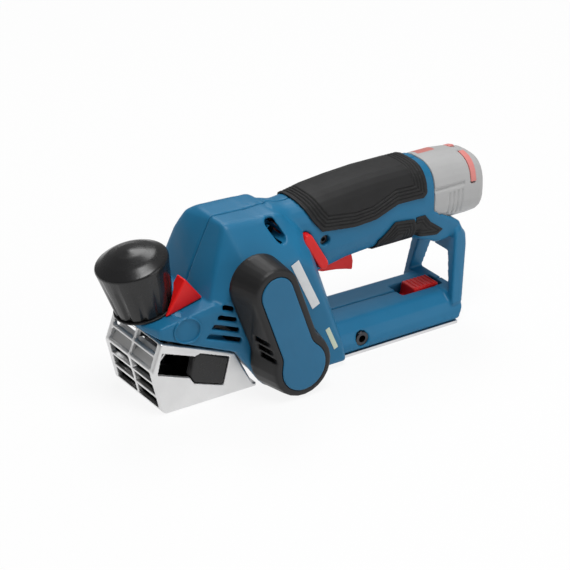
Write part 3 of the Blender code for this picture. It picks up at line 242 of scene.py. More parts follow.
# %% How plastic varies
CLOUD_SCALE = 28.0  # colour drifts over about a hand's width
CLOUD_RANGE = (0.3, 0.7)
SCUFF_SCALE = 420.0  # rubbed spots a few millimetres apart
SCUFF_RANGE = (0.42, 0.62)
WORN_RANGE = (0.25, 0.9)
WORN_SHARE = 0.55
GLOSS_SCALE = 90.0
GLOSS_SWING = 0.16


def moulded(name, colour, worn, roughness, grain=0.04, grain_scale=1500.0, coat=0.0, drift=0.05):
    """Moulded plastic: a base colour that drifts, worn edges and a spark-eroded grain."""
    f = Finish(name, roughness=roughness, coat=coat, coat_roughness=0.25, specular=0.32)
    cloud = f.noise(CLOUD_SCALE, 3.0)
    dark = tuple(c * (1.0 - drift) for c in colour)
    light = tuple(min(1.0, c * (1.0 + drift)) for c in colour)
    body = f.mix(f.between(cloud, *CLOUD_RANGE), dark, light)
    scuff = f.between(f.noise(SCUFF_SCALE, 4.0, 0.65), *SCUFF_RANGE)
    edge = (f.between(f.attribute("edge"), *WORN_RANGE) * scuff * WORN_SHARE).clamped()
    f.feed("Base Color", f.mix(edge, body, worn))
    gloss = f.noise(GLOSS_SCALE, 3.0) * GLOSS_SWING + (roughness - GLOSS_SWING / 2)
    f.feed("Roughness", gloss.clamped())
    f.bump(f.noise(grain_scale, 2.0, 0.6), grain * MM)
    return f


# %% The plastics and the belt
BLUE, WORN_BLUE = (0.010, 0.150, 0.298), (0.07, 0.30, 0.48)
BADGE_BLUE, WORN_BADGE = (0.014, 0.140, 0.275), (0.07, 0.26, 0.40)
BLACK, WORN_BLACK = (0.014, 0.014, 0.0145), (0.075, 0.075, 0.078)
SATIN_BLACK, GRIP_BLACK = (0.012, 0.012, 0.0125), (0.013, 0.013, 0.0135)
BELT_BLACK, WORN_DARK = (0.016, 0.016, 0.016), (0.05, 0.05, 0.05)
RED, WORN_RED = (0.72, 0.010, 0.010), (0.85, 0.12, 0.08)
GREEN, WORN_GREEN = (0.012, 0.13, 0.05), (0.1, 0.3, 0.15)

blue_shell = moulded("blue_shell", BLUE, WORN_BLUE, 0.45)
blue_badge = moulded("blue_badge", BADGE_BLUE, WORN_BADGE, 0.38, grain=0.01)
black_shell = moulded("black_shell", BLACK, WORN_BLACK, 0.42, grain=0.05)
black_satin = moulded("black_satin", SATIN_BLACK, WORN_DARK, 0.27, grain=0.01, coat=0.15)
black_grip = moulded(
    "black_grip", GRIP_BLACK, WORN_DARK, 0.62, grain=0.08, grain_scale=1900.0
)
belt_rubber = moulded("belt_rubber", BELT_BLACK, WORN_DARK, 0.75, grain=0.09)
red_plastic = moulded("red_plastic", RED, WORN_RED, 0.38, grain=0.03, drift=0.08)
board_green = moulded("board_green", GREEN, WORN_GREEN, 0.3, grain=0.01, coat=0.3)
print("plastic finishes ready")


# %% [markdown]
# ## Battery shell
# The battery is a pale grey shell with a red cast high on its right side and red release
# strips. A second material on a few faces would give the cast a hard rim, so the colour is
# masked by the place along, across and up the tool.

# %% Battery finishes
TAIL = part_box("battery_pack")[1].x
BLUSH_ALONG = (TAIL - 0.040, TAIL - 0.026)
BLUSH_ACROSS = (0.003, 0.0165)
BLUSH_RISE = (0.1075, 0.1105)
SHELL_GREY, WORN_GREY, BLUSH = (0.44, 0.44, 0.44), (0.6, 0.6, 0.6), (0.55, 0.19, 0.17)
STRIP_RED, WORN_STRIP = (0.70, 0.24, 0.22), (0.8, 0.4, 0.38)


def battery_finish():
    """Pale shell plastic with a warm blush on the right side, near the top."""
    f = moulded("battery_grey", SHELL_GREY, WORN_GREY, 0.46, grain=0.02)
    x, y, z = f.axes()
    along = x.above(BLUSH_ALONG[0]) * x.below(BLUSH_ALONG[1])
    high = f.between(z, *BLUSH_RISE) * y.above(BLUSH_ACROSS[0]) * y.below(BLUSH_ACROSS[1])
    f.feed("Base Color", f.mix(along * high, f.colour_so_far(), BLUSH))
    return f


battery_grey = battery_finish()
pale_red = moulded("pale_red", STRIP_RED, WORN_STRIP, 0.42, grain=0.02)
print("battery finishes ready")


# %% [markdown]
# ## Metals
# The shoe is die-cast aluminium, tumbled to a soft sparkle and milled flat underneath. The
# rear sole is extruded, so its fine lines run along the tool. Steel parts are turned or
# ground, and the screws are blackened. One recipe makes them all: the same noise, squeezed
# along one axis by a Mapping node, turns from a grain into tool lines.


# %% Bare metal
def cast_metal(name, colour, roughness, grain, lines=(1.0, 1.0, 1.0), drift=0.12, metallic=1.0):
    """Bare metal: cloudy gloss, a grain that may be stretched into lines, and bright edges."""
    f = Finish(name, roughness=roughness, metallic=metallic)
    cloud = f.between(f.noise(45.0, 4.0), 0.3, 0.7)
    dark = tuple(c * (1.0 - drift) for c in colour)
    body = f.mix(cloud, dark, colour)
    edge = (f.between(f.attribute("edge"), 0.2, 0.9) * 0.6).clamped()
    f.feed("Base Color", f.mix(edge, body, tuple(min(1.0, c * 1.25) for c in colour)))
    fine = f.noise(900.0, 3.0, 0.6, f.stretched(*lines))
    f.feed("Roughness", (fine * 0.18 + (roughness - 0.09)).clamped())
    f.bump(fine, grain * MM)
    return f


PALE_CASTING = (0.80, 0.80, 0.80)
aluminium = cast_metal("cast_aluminium", PALE_CASTING, 0.40, 0.05, metallic=0.85)
sole_plate = cast_metal("sole_plate", (0.74, 0.74, 0.75), 0.32, 0.04, lines=(0.03, 1.0, 1.0))
drum_metal = cast_metal("drum_metal", (0.62, 0.62, 0.63), 0.34, 0.03, lines=(1.0, 0.05, 1.0))
bright_steel = cast_metal("bright_steel", (0.60, 0.60, 0.61), 0.24, 0.01, lines=(1.0, 0.1, 1.0))
# The drum frame is cast aluminium; its near black here is painted shade, for the frame deep inside
# the tool
painted_shade_casting = cast_metal("painted_shade_casting", (0.075, 0.078, 0.082), 0.50, 0.05, metallic=0.6)
black_steel = cast_metal("black_steel", (0.07, 0.07, 0.075), 0.38, 0.02)
brass = cast_metal("brass", (0.65, 0.46, 0.17), 0.30, 0.02)


print("metal finishes ready")

# %% [markdown]
# ## The hollow of the shoe
# Behind its ribs the shoe is hollow, and what lies there is out of the light.
# A wall could close it, but the drum and the frame need the room. Instead the shade is painted:
# the same casting is made dark wherever a point lies deeper than the skin of the nose, whose
# profile is two straight lines that meet at its foremost point.

# %% Shoe casting
NOSE_HEIGHT = 0.031
NOSE_SPREAD, NOSE_LEAN, NOSE_OFFSET = 0.2915, 0.0785, 0.0066
HOLLOW_DEPTH = (0.0028, 0.0042)
HOLLOW_HALF_WIDTH = 0.0272
HOLLOW_FLOOR = 0.0028
HOLLOW_END = 0.066
HOLLOW_PAINTED_SHADE = (0.02, 0.02, 0.02)


def shoe_finish():
    """The same casting, with painted shade in the hollow behind the nose grille."""
    f = cast_metal("shoe_casting", PALE_CASTING, 0.40, 0.05, metallic=0.85)
    x, y, z = f.axes()
    from_nose = z - NOSE_HEIGHT
    nose = from_nose.size() * NOSE_SPREAD + from_nose * NOSE_LEAN - NOSE_OFFSET
    behind = f.between(x - TOE - nose, *HOLLOW_DEPTH)
    between_walls = y.size().below(HOLLOW_HALF_WIDTH)
    inside = between_walls * z.above(HOLLOW_FLOOR) * (x - TOE).below(HOLLOW_END)
    # painted shade: the casting is darkened in the hollow behind the grille, where little light
    # reaches
    f.feed("Base Color", f.mix(behind * inside, f.colour_so_far(), HOLLOW_PAINTED_SHADE))
    return f


shoe_metal = shoe_finish()
print("shoe casting ready")

# %% [markdown]
# ## Motor windings
# The stator is a stack of iron sheets with enamelled copper wound round both ends. Wires
# could be modelled, but they are out of sight in the housing, so bands of colour do.

# %% Windings
STACK_HALF_LENGTH = 0.0082
COPPER_DARK, COPPER_BRIGHT, IRON = (0.35, 0.12, 0.04), (0.62, 0.27, 0.11), (0.16, 0.16, 0.17)


def winding_finish():
    """Enamelled copper and stacked iron: dark and copper bands round the stator."""
    f = Finish("stator_windings", roughness=0.35, metallic=0.8)
    stack = f.axes()[1].size().below(STACK_HALF_LENGTH)
    copper = f.mix(f.noise(600.0, 3.0), COPPER_DARK, COPPER_BRIGHT)
    f.feed("Base Color", f.mix(stack, copper, IRON))
    f.bump(f.noise(700.0, 1.0, 0.5, f.stretched(0.05, 3.0, 0.05)), 0.1 * MM)
    return f


windings = winding_finish()
print("windings ready")


# %% [markdown]
# ## Label stock
# The data label and the energy sticker stay at their size and place, bare, in plain paper
# white and pale green. Coated paper is nearly flat, so a faint mottle is all it needs.


# %% Paper labels
def paper(name, colour):
    """Coated label stock: nearly flat, with a faint fibre mottle."""
    f = Finish(name, roughness=0.42)
    mottle = f.between(f.noise(300.0, 4.0, 0.7), 0.35, 0.65)
    f.feed("Base Color", f.mix(mottle, tuple(c * 0.95 for c in colour), colour))
    f.bump(f.noise(1100.0, 2.0), 0.005 * MM)
    return f


label_white = paper("label_white", (0.78, 0.80, 0.82))
label_green = paper("label_green", (0.62, 0.70, 0.55))
print("label stock ready")

# %% [markdown]
# ## Every CAD node gets its finish
# A node that keeps its CAD shape only needs its material slots filled. The record's slot
# names say what each piece is made of, and a few nodes have a finish of their own.

# %% Finishes by slot
finish_of_slot = {
    "blue_housing": blue_shell,
    "blue_plate": blue_badge,
    "black_grip": black_grip,
    "black_plastic": black_shell,
    "red_plastic": red_plastic,
    "cast_aluminium": aluminium,
    "steel": bright_steel,
    "dark_steel": black_steel,
    "copper_windings": windings,
    "brass": brass,
    "belt_rubber": belt_rubber,
    "grey_plastic": battery_grey,
    "pale_red_plastic": pale_red,
    "board_green": board_green,
}
special = {
    "front_shoe": shoe_metal,
    # painted shade: the drum frame is darkened to stand for the shade inside the tool
    "drum_frame": painted_shade_casting,
    "rear_sole": sole_plate,
    "cutter_drum": drum_metal,
    "blade_clamp": drum_metal,
    "depth_knob": black_satin,
    "shoe_guide_left": black_satin,
    "shoe_guide_right": black_satin,
}
slot_of_node = {part["node"]: part["material_slot"] for part in frame["record"]["subparts"]}
finish_of_node = {
    name: special.get(name, finish_of_slot[slot]) for name, slot in slot_of_node.items()
}
body_of_node = {}
for body, members in frame["record"]["behaviour"]["bodies"].items():
    body_of_node.update(dict.fromkeys(members, body))

# %% Fill the slots
for name, node in nodes.items():
    node.data.materials.clear()
    node.data.materials.append(finish_of_node[name].material)
print("finished", len(finish_of_node), "nodes")

# %% [markdown]
# ## Softening the mouldings
# A mould has no sharp corners. Each visible shell is copied, closed, rebuilt in even small
# faces by a voxel remesh, and relaxed, which rolls every edge over by a millimetre or so. The
# rebuilt faces are then thinned. Bevels could do this too, but not on shapes that were cut
# by many Booleans.


# %% Pick, apply and copy
def pick(obj):
    """Makes one object the only selected and the active one."""
    bpy.ops.object.select_all(action="DESELECT")
    obj.select_set(True)
    bpy.context.view_layer.objects.active = obj


def applied(obj, kind, **settings):
    """Adds a modifier with these settings and applies it."""
    pick(obj)
    modifier = obj.modifiers.new(kind.lower(), kind)
    for name, value in settings.items():
        setattr(modifier, name, value)
    bpy.ops.object.modifier_apply(modifier=modifier.name)
    return obj


WELD = 0.002 * MM  # corners closer than this are one corner


def copied(name, new_name):
    """A closed copy of a CAD node's mesh."""
    obj = bpy.data.objects.new(new_name, nodes[name].data.copy())
    bpy.context.scene.collection.objects.link(obj)
    pick(obj)
    bpy.ops.object.mode_set(mode="EDIT")
    bpy.ops.mesh.select_all(action="SELECT")
    bpy.ops.mesh.remove_doubles(threshold=WELD)
    bpy.ops.object.mode_set(mode="OBJECT")
    return obj


# %% Points in and out of a mesh
def points_of(obj):
    flat = np.empty(len(obj.data.vertices) * 3)
    obj.data.vertices.foreach_get("co", flat)
    return flat.reshape(-1, 3)


def normals_of(obj):
    flat = np.empty(len(obj.data.vertices) * 3)
    obj.data.vertex_normals.foreach_get("vector", flat)
    return flat.reshape(-1, 3)


def place_points(obj, points):
    obj.data.vertices.foreach_set("co", points.ravel())
    obj.data.update()


def shade_round(obj):
    obj.data.polygons.foreach_set("use_smooth", [True] * len(obj.data.polygons))


# %% [markdown]
# Paint and polish go first where an edge stands proud. The distance of a point from the
# middle of its neighbours says how proud it is, and the finishes read that from the mesh.

# %% Wear value
FULL_WEAR = 0.35  # a point this share of an edge's length proud is fully worn


def mark_edges(obj):
    """Stores how far each point stands out of its neighbours, which is where a tool wears."""
    mesh = obj.data
    points, normals = points_of(obj), normals_of(obj)
    ends = np.empty(len(mesh.edges) * 2, np.int64)
    mesh.edges.foreach_get("vertices", ends)
    a, b = ends.reshape(-1, 2).T
    total = np.zeros_like(points)
    count = np.zeros(len(points))
    for here, there in ((a, b), (b, a)):
        np.add.at(total, here, points[there])
        np.add.at(count, here, 1)
    out = points - total / np.maximum(count, 1)[:, None]
    step = np.linalg.norm(points[a] - points[b], axis=1).mean()
    bulge = np.einsum("ij,ij->i", out, normals) / step
    wear = mesh.attributes.new("edge", "FLOAT", "POINT")
    wear.data.foreach_set("value", np.clip(bulge / FULL_WEAR, 0, 1).astype(np.float32))


# %% A soft stand-in for a CAD node
def softened(name, voxel, passes, share=1.0, carve=None, extra=None):
    """A relaxed, evenly meshed stand-in for a CAD node, riding where the node rides."""
    obj = copied(name, f"{name}_moulded")
    applied(obj, "REMESH", mode="VOXEL", voxel_size=voxel * MM, use_smooth_shade=True)
    applied(obj, "SMOOTH", factor=0.5, iterations=passes)
    if extra:
        extra(obj)
    if carve:
        carve(obj)
    if share < 1.0:
        applied(obj, "DECIMATE", ratio=share)
    mark_edges(obj)
    shade_round(obj)
    obj.data.materials.clear()
    obj.data.materials.append(finish_of_node[name].material)
    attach(obj, body_of_node[name])
    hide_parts(name)
    print(f"{obj.name}: {len(obj.data.polygons)} faces")
    return obj


# %% [markdown]
# ## The two housing halves
# The hood flows into the handle in broad soft curves, so its upper skin is relaxed much
# more than the base, the louvres and the screw pocket, which stay crisp. Sculpting by hand
# would do it as well. A vertex group was chosen, because it says exactly how strongly each
# point takes the extra smoothing and gives the same shape each time.

# %% Where the hood is soft
HOOD_POCKET = (87.0, 102.0)  # the screw pocket in the hood's side
POCKET_REACH = 9.0
HOOD_FOOT, HOOD_FRONT, HOOD_BACK = 70.0, 34.0, 112.0


def rising(value, start, length):
    """0 up to start, then straight up to 1 over a length."""
    return np.clip((value - start) / length, 0, 1)


def hood_softness(points):
    """1 on the broad skin of the hood, falling to 0 near its pocket, its seam and the base."""
    x, y, z = in_millimetres(points)
    high = rising(z, HOOD_FOOT, 12.0)
    from_pocket = np.hypot(x - HOOD_POCKET[0], z - HOOD_POCKET[1])
    clear_of_pocket = rising(from_pocket, POCKET_REACH, 5.0)
    ahead = np.clip((HOOD_BACK - x) / 6.0, 0, 1)
    behind_knob = rising(x, HOOD_FRONT, 4.0)
    clear_of_seam = rising(np.abs(y), 1.5, 2.0)
    return high * clear_of_pocket * ahead * behind_knob * clear_of_seam


def relax_where(obj, name, weights, passes):
    """Extra smoothing, as strong at each point as its weight."""
    group = obj.vertex_groups.new(name=name)
    for index in np.nonzero(weights > 0.01)[0]:
        group.add([int(index)], float(weights[index]), "REPLACE")
    applied(obj, "SMOOTH", factor=0.5, iterations=passes, vertex_group=name)
    obj.vertex_groups.clear()


# %% Fuller shoulder and neck
SHOULDER, SHOULDER_REACH, SHOULDER_SWELL = (41.0, 16.0, 105.0), 13.0, 3.2
NECK_X, NECK_REACH, NECK_FOOT, NECK_SWELL = 95.0, 8.0, 98.0, 3.4
NECK_HALF_WIDTH = 24.0


def swell_hood(obj):
    """Fills the hood's front shoulder and the hollow where the hood meets the handle."""
    points = points_of(obj)
    x, y, z = in_millimetres(points)
    dx, dy, dz = x - SHOULDER[0], y - SHOULDER[1], z - SHOULDER[2]
    far = np.sqrt(dx**2 + dy**2 + dz**2)
    shoulder = SHOULDER_SWELL * np.exp(-((far / SHOULDER_REACH) ** 2)) * MM
    points[:, 0] -= shoulder * 0.75
    points[:, 2] += shoulder * 0.66
    inward = np.clip((NECK_HALF_WIDTH - np.abs(y)) / 6.0, 0, 1)
    along = np.exp(-(((x - NECK_X) / NECK_REACH) ** 2))
    points[:, 2] += NECK_SWELL * MM * along * rising(z, NECK_FOOT, 8.0) * inward
    place_points(obj, points)


# %% Round field in the deck wall
EMBLEM = (18.0, 56.0)
EMBLEM_RADIUS = 8.3
EMBLEM_DEPTH = 0.7


def sink_emblem(obj):
    """Sinks the round emblem field into the deck's left wall."""
    points, normals = points_of(obj), normals_of(obj)
    x, y, z = in_millimetres(points)
    from_rim = EMBLEM_RADIUS - np.hypot(x - EMBLEM[0], z - EMBLEM[1])
    left_wall = (normals[:, 1] < -0.5) * (y < -20.0)
    points[:, 1] += rising(from_rim, 0.0, 0.9) * left_wall * EMBLEM_DEPTH * MM
    place_points(obj, points)


# %% Housing halves
def shape_hood(obj):
    relax_where(obj, "hood", hood_softness(points_of(obj)), 30)
    swell_hood(obj)
    sink_emblem(obj)


housing_left = softened("housing_left", 0.85, 3, 0.5, extra=shape_hood)
housing_right = softened("housing_right", 0.85, 3, 0.5, extra=shape_hood)

# %% [markdown]
# ## Grips
# The soft upper grip has grooves that follow its outline inwards, like contour lines: they
# run down its front edge, along its lower edge and up its rear edge, and wrap over the
# handle. They could be cut by Booleans with a swept tool, but a groove that wraps a round
# handle needs a new tool for each. Once the mesh is fine enough, each point is simply sunk
# by its distance from the outline.


# %% Grooves beside a line
def distance_to_line(x, z, line):
    """Distance of each point from a run of straight stretches, all in millimetres."""
    nearest = np.full(len(x), 1e9)
    for (x0, z0), (x1, z1) in zip(line, line[1:]):
        dx, dz = x1 - x0, z1 - z0
        share = np.clip(((x - x0) * dx + (z - z0) * dz) / (dx * dx + dz * dz), 0, 1)
        nearest = np.minimum(nearest, np.hypot(x - x0 - share * dx, z - z0 - share * dz))
    return nearest


def groove(distance, centres, half_width, depth):
    """Depth at each distance of a set of round-bottomed grooves."""
    sunk = np.zeros_like(distance)
    for centre in centres:
        sunk = np.maximum(sunk, depth * np.exp(-(((distance - centre) / half_width) ** 2)))
    return sunk


def facing_out(points, normals, middle):
    """True on the outer skin of a grip that wraps a handle whose middle is this far up."""
    return normals[:, 1] * points[:, 1] + normals[:, 2] * (points[:, 2] - middle) > 0


# %% Upper grip
GROOVE_HALF_WIDTH, GROOVE_DEPTH = 0.5, 0.95
UPPER_GROOVES = (3.0, 5.3, 7.6, 9.9)
UPPER_MIDDLE = 93.0 * MM
GRIP_EDGE = [(114, 130), (114.8, 111), (120, 100), (126.5, 91.7), (152, 89.2)]
GRIP_EDGE += [(168, 90.2), (186, 96.7), (206, 96.2), (209.5, 99.2), (209.5, 130)]


def carve_upper_grip(obj):
    points, normals = points_of(obj), normals_of(obj)
    x, y, z = in_millimetres(points)
    distance = distance_to_line(x, z, GRIP_EDGE)
    sunk = groove(distance, UPPER_GROOVES, GROOVE_HALF_WIDTH, GROOVE_DEPTH)
    round_wall = np.hypot(normals[:, 1], normals[:, 2]) > 0.5
    outer = round_wall * facing_out(points, normals, UPPER_MIDDLE)
    points -= normals * (sunk * outer * MM)[:, None]
    place_points(obj, points)


softened("grip_top", 0.45, 3, carve=carve_upper_grip)

# %% [markdown]
# The lower grip, under the fingers, has steps that repeat its own slanted outline. The same
# sinking makes them, from another line.

# %% Lower grip
LOWER_GROOVES = (2.6, 4.9, 7.2, 9.5)
LOWER_MIDDLE = 0.088
FINGER_EDGE = [(171.5, 60), (171.5, 72.5), (184, 84.5), (199.5, 82.5), (202, 76), (202, 60)]


def carve_lower_grip(obj):
    points, normals = points_of(obj), normals_of(obj)
    x, y, z = in_millimetres(points)
    distance = distance_to_line(x, z, FINGER_EDGE)
    sunk = groove(distance, LOWER_GROOVES, GROOVE_HALF_WIDTH, GROOVE_DEPTH)
    points -= normals * (sunk * facing_out(points, normals, LOWER_MIDDLE) * MM)[:, None]
    place_points(obj, points)


softened("grip_bottom", 0.45, 3, carve=carve_lower_grip)

# %% [markdown]
# ## Belt cover and its badge plate
# The cover is one deep moulding with the blue oval plate let into its face. Both are solids
# of their own in the frame, so rolling their edges is enough. The plate's lettering is left
# out, so it stays bare.

# %% Belt cover
softened("belt_cover", 0.55, 4, 0.6)
softened("belt_cover_plate", 0.35, 3, 0.5)

# %% [markdown]
# ## Depth knob, pointer and scale ring
# The knob's domed cap and fluted skirt are one satin moulding, with a red pointer beside it
# and a thin ring under it. A spun profile would give the dome, but not the flutes that run
# into it, so the CAD shape is kept and its cap alone is relaxed much further.

# %% Depth dial
DOME_DEPTH, DOME_FADE = 11.0, 3.0


def relax_dome(obj):
    """Rolls the cap into one smooth dome and leaves the fluted skirt crisp."""
    points = points_of(obj)
    top = points[:, 2].max()
    weight = np.clip((points[:, 2] - top + DOME_DEPTH * MM) / (DOME_FADE * MM), 0, 1)
    relax_where(obj, "dome", weight, 60)


softened("depth_knob", 0.45, 2, 0.6, extra=relax_dome)
softened("depth_scale_ring", 0.4, 2, 0.6)
softened("depth_pointer", 0.4, 3, 0.6)

# %% [markdown]
# ## Front shoe
# A casting with a ribbed nose and a plastic guide block in each cheek. Casting radii are
# small, so the shoe is relaxed less than the mouldings.

# %% Front shoe
softened("front_shoe", 0.6, 2, 0.6)
for side in ("left", "right"):
    softened(f"shoe_guide_{side}", 0.35, 2, 0.6)

# %% [markdown]
# Behind the upper ribs the casting slopes back under the deck. One thin plate, tilted and
# with its rim rounded, is all that can be seen of it between the ribs.

# %% Sloping wall behind the top of the grille
BAFFLE_SIZE = (12.5 * MM, 53.4 * MM, 1.2 * MM)
BAFFLE_TILT = -46

bpy.ops.object.select_all(action="DESELECT")
bpy.ops.mesh.primitive_cube_add(size=1.0)
shoe_baffle = bpy.context.object
shoe_baffle.name = "shoe_baffle"
shoe_baffle.scale = BAFFLE_SIZE
shoe_baffle.rotation_euler = (0, math.radians(BAFFLE_TILT), 0)
shoe_baffle.location = spot(0.5, 0, 36.7)
bpy.ops.object.transform_apply(location=True, rotation=True, scale=True)
applied(shoe_baffle, "BEVEL", width=0.3 * MM, segments=2)
shoe_baffle.data.materials.append(aluminium.material)
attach(shoe_baffle, body_of_node["front_shoe"])
print("shoe baffle made")

# %% [markdown]
# ## Battery
# The shell has a straight slot at mid height on each side and four upright finger grooves
# below it, near the end that is pulled. They are sunk like the grooves of the grips, here
# measured from the tail.

# %% Battery shell detail
SLOT_HEIGHT, SLOT_START, SLOT_END, SLOT_DEPTH = 98.0, 18.0, 43.0, 1.3
FINGER_GROOVES = (20.0, 23.6, 27.2, 30.8)
FINGER_LOW, FINGER_HIGH, FINGER_HALF_WIDTH, FINGER_DEPTH = 76.0, 94.5, 0.6, 1.1
FADE = 1.2
SIDE_FACE = 0.018  # only the flat sides lie further out than this


def carve_battery(obj):
    points, normals = points_of(obj), normals_of(obj)
    x = (TAIL - points[:, 0]) / MM
    z = points[:, 2] / MM
    slot = rising(x, SLOT_START, 0.8) * np.exp(-(((z - SLOT_HEIGHT) / FADE) ** 2)) * (x < SLOT_END)
    reach = np.clip((FINGER_HIGH - z) / FADE, 0, 1) * rising(z, FINGER_LOW, FADE)
    fingers = np.zeros(len(x))
    for centre in FINGER_GROOVES:
        fingers = np.maximum(fingers, np.exp(-(((x - centre) / FINGER_HALF_WIDTH) ** 2)) * reach)
    side = (np.abs(normals[:, 1]) > 0.6) * (np.abs(points[:, 1]) > SIDE_FACE)
    points -= normals * ((slot * SLOT_DEPTH + fingers * FINGER_DEPTH) * side * MM)[:, None]
    place_points(obj, points)


softened("battery_pack", 0.6, 4, carve=carve_battery)
for side in ("left", "right"):
    softened(f"battery_release_{side}", 0.3, 2, 0.6)

# %% [markdown]
# ## Controls
# Trigger, lock-off button and park rest are small red mouldings with softly rolled edges,
# and the chip outlet is a black spigot on the right. They could be modelled anew, but the
# frame has them at their size, so they are softened too, the finer pieces from finer voxels.

# %% Controls
softened("trigger", 0.35, 4, 0.6)
softened("lock_off_button", 0.4, 3, 0.6)
softened("park_rest", 0.35, 2, 0.7)
softened("chip_outlet", 0.45, 2, 0.6)

# %% [markdown]
# ## Soft pads behind the lower grip
# The lower grip carries on over the root of the rear hoop as a pointed pad on each wall. A
# flat outline is thickened, meshed finely and dropped on the wall, and grooves repeat its
# outline. A copy of the wall's own faces would follow it as well, but its rim would be
# ragged.


# %% Drop on a wall
BEYOND = 0.06  # outside the widest piece, where each ray starts
WALL_FACE = 0.0205  # the wall's distance from the middle, where a ray misses


def drop_on(obj, shell, side=-1):
    """Moves each point along Y onto the shell, keeping its own height off the wall."""
    mesh = shell.data
    mesh.calc_loop_triangles()
    triangles = [tuple(t.vertices) for t in mesh.loop_triangles]
    tree = BVHTree.FromPolygons([v.co.copy() for v in mesh.vertices], triangles)
    for vertex in obj.data.vertices:
        start = Vector((vertex.co.x, side * BEYOND, vertex.co.z))
        hit = tree.ray_cast(start, Vector((0, -side, 0)))[0]
        vertex.co.y += hit.y if hit else side * WALL_FACE
    obj.data.update()


# %% Pad outline and grooves
PAD = [(201.3, 68.4), (201.3, 83.0), (208.6, 83.0), (213.2, 77.0), (224.6, 68.4), (219.6, 65.4)]
PAD_THICKNESS = 1.5
PAD_GROOVES = (2.4, 4.6)


def pad_outline(name):
    """A flat upright plate with the pad's corners, on the middle plane."""
    bpy.ops.object.select_all(action="DESELECT")
    upright = (math.radians(90), 0, 0)
    bpy.ops.mesh.primitive_circle_add(vertices=len(PAD), fill_type="NGON", rotation=upright)
    made = bpy.context.object
    made.name = name
    bpy.ops.object.transform_apply(location=True, rotation=True, scale=True)
    order = sorted(made.data.vertices, key=lambda v: math.atan2(v.co.z, v.co.x))
    middle = (sum(x for x, z in PAD) / len(PAD), sum(z for x, z in PAD) / len(PAD))
    corners = sorted(PAD, key=lambda c: math.atan2(c[1] - middle[1], c[0] - middle[0]))
    for vertex, (x, z) in zip(order, corners):
        vertex.co = spot(x, 0, z)
    return made


def carve_pad(obj, side):
    points, normals = points_of(obj), normals_of(obj)
    x, y, z = in_millimetres(points)
    sunk = groove(distance_to_line(x, z, PAD[1:] + PAD[:1]), PAD_GROOVES, 0.45, 0.7)
    outer = np.clip(normals[:, 1] * side, 0, 1)
    points[:, 1] -= side * sunk * outer * MM
    place_points(obj, points)


# %% Pads
def pad(name, side, shell):
    made = pad_outline(name)
    applied(made, "SOLIDIFY", thickness=PAD_THICKNESS * MM, offset=0.0)
    applied(made, "REMESH", mode="VOXEL", voxel_size=0.35 * MM, use_smooth_shade=True)
    applied(made, "SMOOTH", factor=0.5, iterations=3)
    carve_pad(made, side)
    drop_on(made, shell, side)
    mark_edges(made)
    shade_round(made)
    made.data.materials.append(black_grip.material)
    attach(made, "housing")
    print(name, len(made.data.polygons), "faces")


pad("grip_pad_left", -1, housing_left)
pad("grip_pad_right", 1, housing_right)

# %% [markdown]
# ## Screw head
# A socket screw holds the two halves together just above the trigger. A round rod with a
# rounded rim makes the head, and a six-sided rod is cut out of it for the key, because one
# Boolean on so plain a shape is clean and quick.

# %% Screw head in the handle
HANDLE_SCREW = (129.5, 84.5)
HEAD_RADIUS, HEAD_START, HEAD_LENGTH = 3.3, -14.0, 4.2
KEY_RADIUS, KEY_START, KEY_LENGTH = 1.7, -16.4, 4.0


def rod_across(name, corners, radius, start, length):
    """A rod along Y from start towards the left."""
    bpy.ops.object.select_all(action="DESELECT")
    place = spot(HANDLE_SCREW[0], start - length / 2, HANDLE_SCREW[1])
    turn = (math.radians(90), 0, 0)
    sizes = {"radius": radius * MM, "depth": length * MM}
    bpy.ops.mesh.primitive_cylinder_add(vertices=corners, location=place, rotation=turn, **sizes)
    made = bpy.context.object
    made.name = name
    bpy.ops.object.transform_apply(location=True, rotation=True, scale=True)
    return made


screw_head = rod_across("handle_screw_head", 40, HEAD_RADIUS, HEAD_START, HEAD_LENGTH)
applied(screw_head, "BEVEL", width=0.3 * MM, segments=2)
socket = rod_across("socket_tool", 6, KEY_RADIUS, KEY_START, KEY_LENGTH)
applied(screw_head, "BOOLEAN", object=socket, operation="DIFFERENCE", solver="EXACT")
bpy.data.objects.remove(socket)
screw_head.data.materials.clear()
screw_head.data.materials.append(black_steel.material)
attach(screw_head, "housing")
print("screw head set")

# %% [markdown]
# ## Labels on the left wall
# Each label is a plane of its real length and width, turned to its slant, given the
# thickness of its stock and rounded at the rim. A decal in the wall's own material would
# need less, but a plate of its own keeps its edge and its place.

# %% Labels
LABEL_THICKNESS = 0.3
LABEL_WALL = -38.6


def label(name, centre, length, width, lean, finish):
    """A thin plate on the left wall; lean tips its top forwards, in degrees."""
    bpy.ops.object.select_all(action="DESELECT")
    bpy.ops.mesh.primitive_plane_add(size=1.0, location=centre, rotation=(math.radians(90), 0, 0))
    plate = bpy.context.object
    plate.name = name
    plate.scale = (width * MM, length * MM, 1.0)
    bpy.ops.object.transform_apply(location=False, rotation=True, scale=True)
    plate.rotation_euler = (0, math.radians(-lean), 0)
    bpy.ops.object.transform_apply(location=True, rotation=True, scale=True)
    applied(plate, "SOLIDIFY", thickness=LABEL_THICKNESS * MM, offset=0.0)
    applied(plate, "BEVEL", width=0.1 * MM, segments=2)
    plate.data.materials.append(finish.material)
    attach(plate, "housing")
    print(name, "made")


label("data_label", spot(102.4, LABEL_WALL, 67.4), 38.5, 6.3, 25.0, label_white)
label("energy_label", spot(122.9, LABEL_WALL, 23.2), 17.5, 3.3, 23.5, label_green)

# %% [markdown]
# ## Moulded ring
# A round emblem field is moulded into the deck's left wall. Its sign is left out, and the
# raised rim stays. The wall is curved, so a plain ring would leave it at two sides: a thin
# ring is laid on the wall by dropping each of its points on it.

# %% Ring on the deck wall
RING_PROUD, RING_RADIUS = 0.35, 0.75

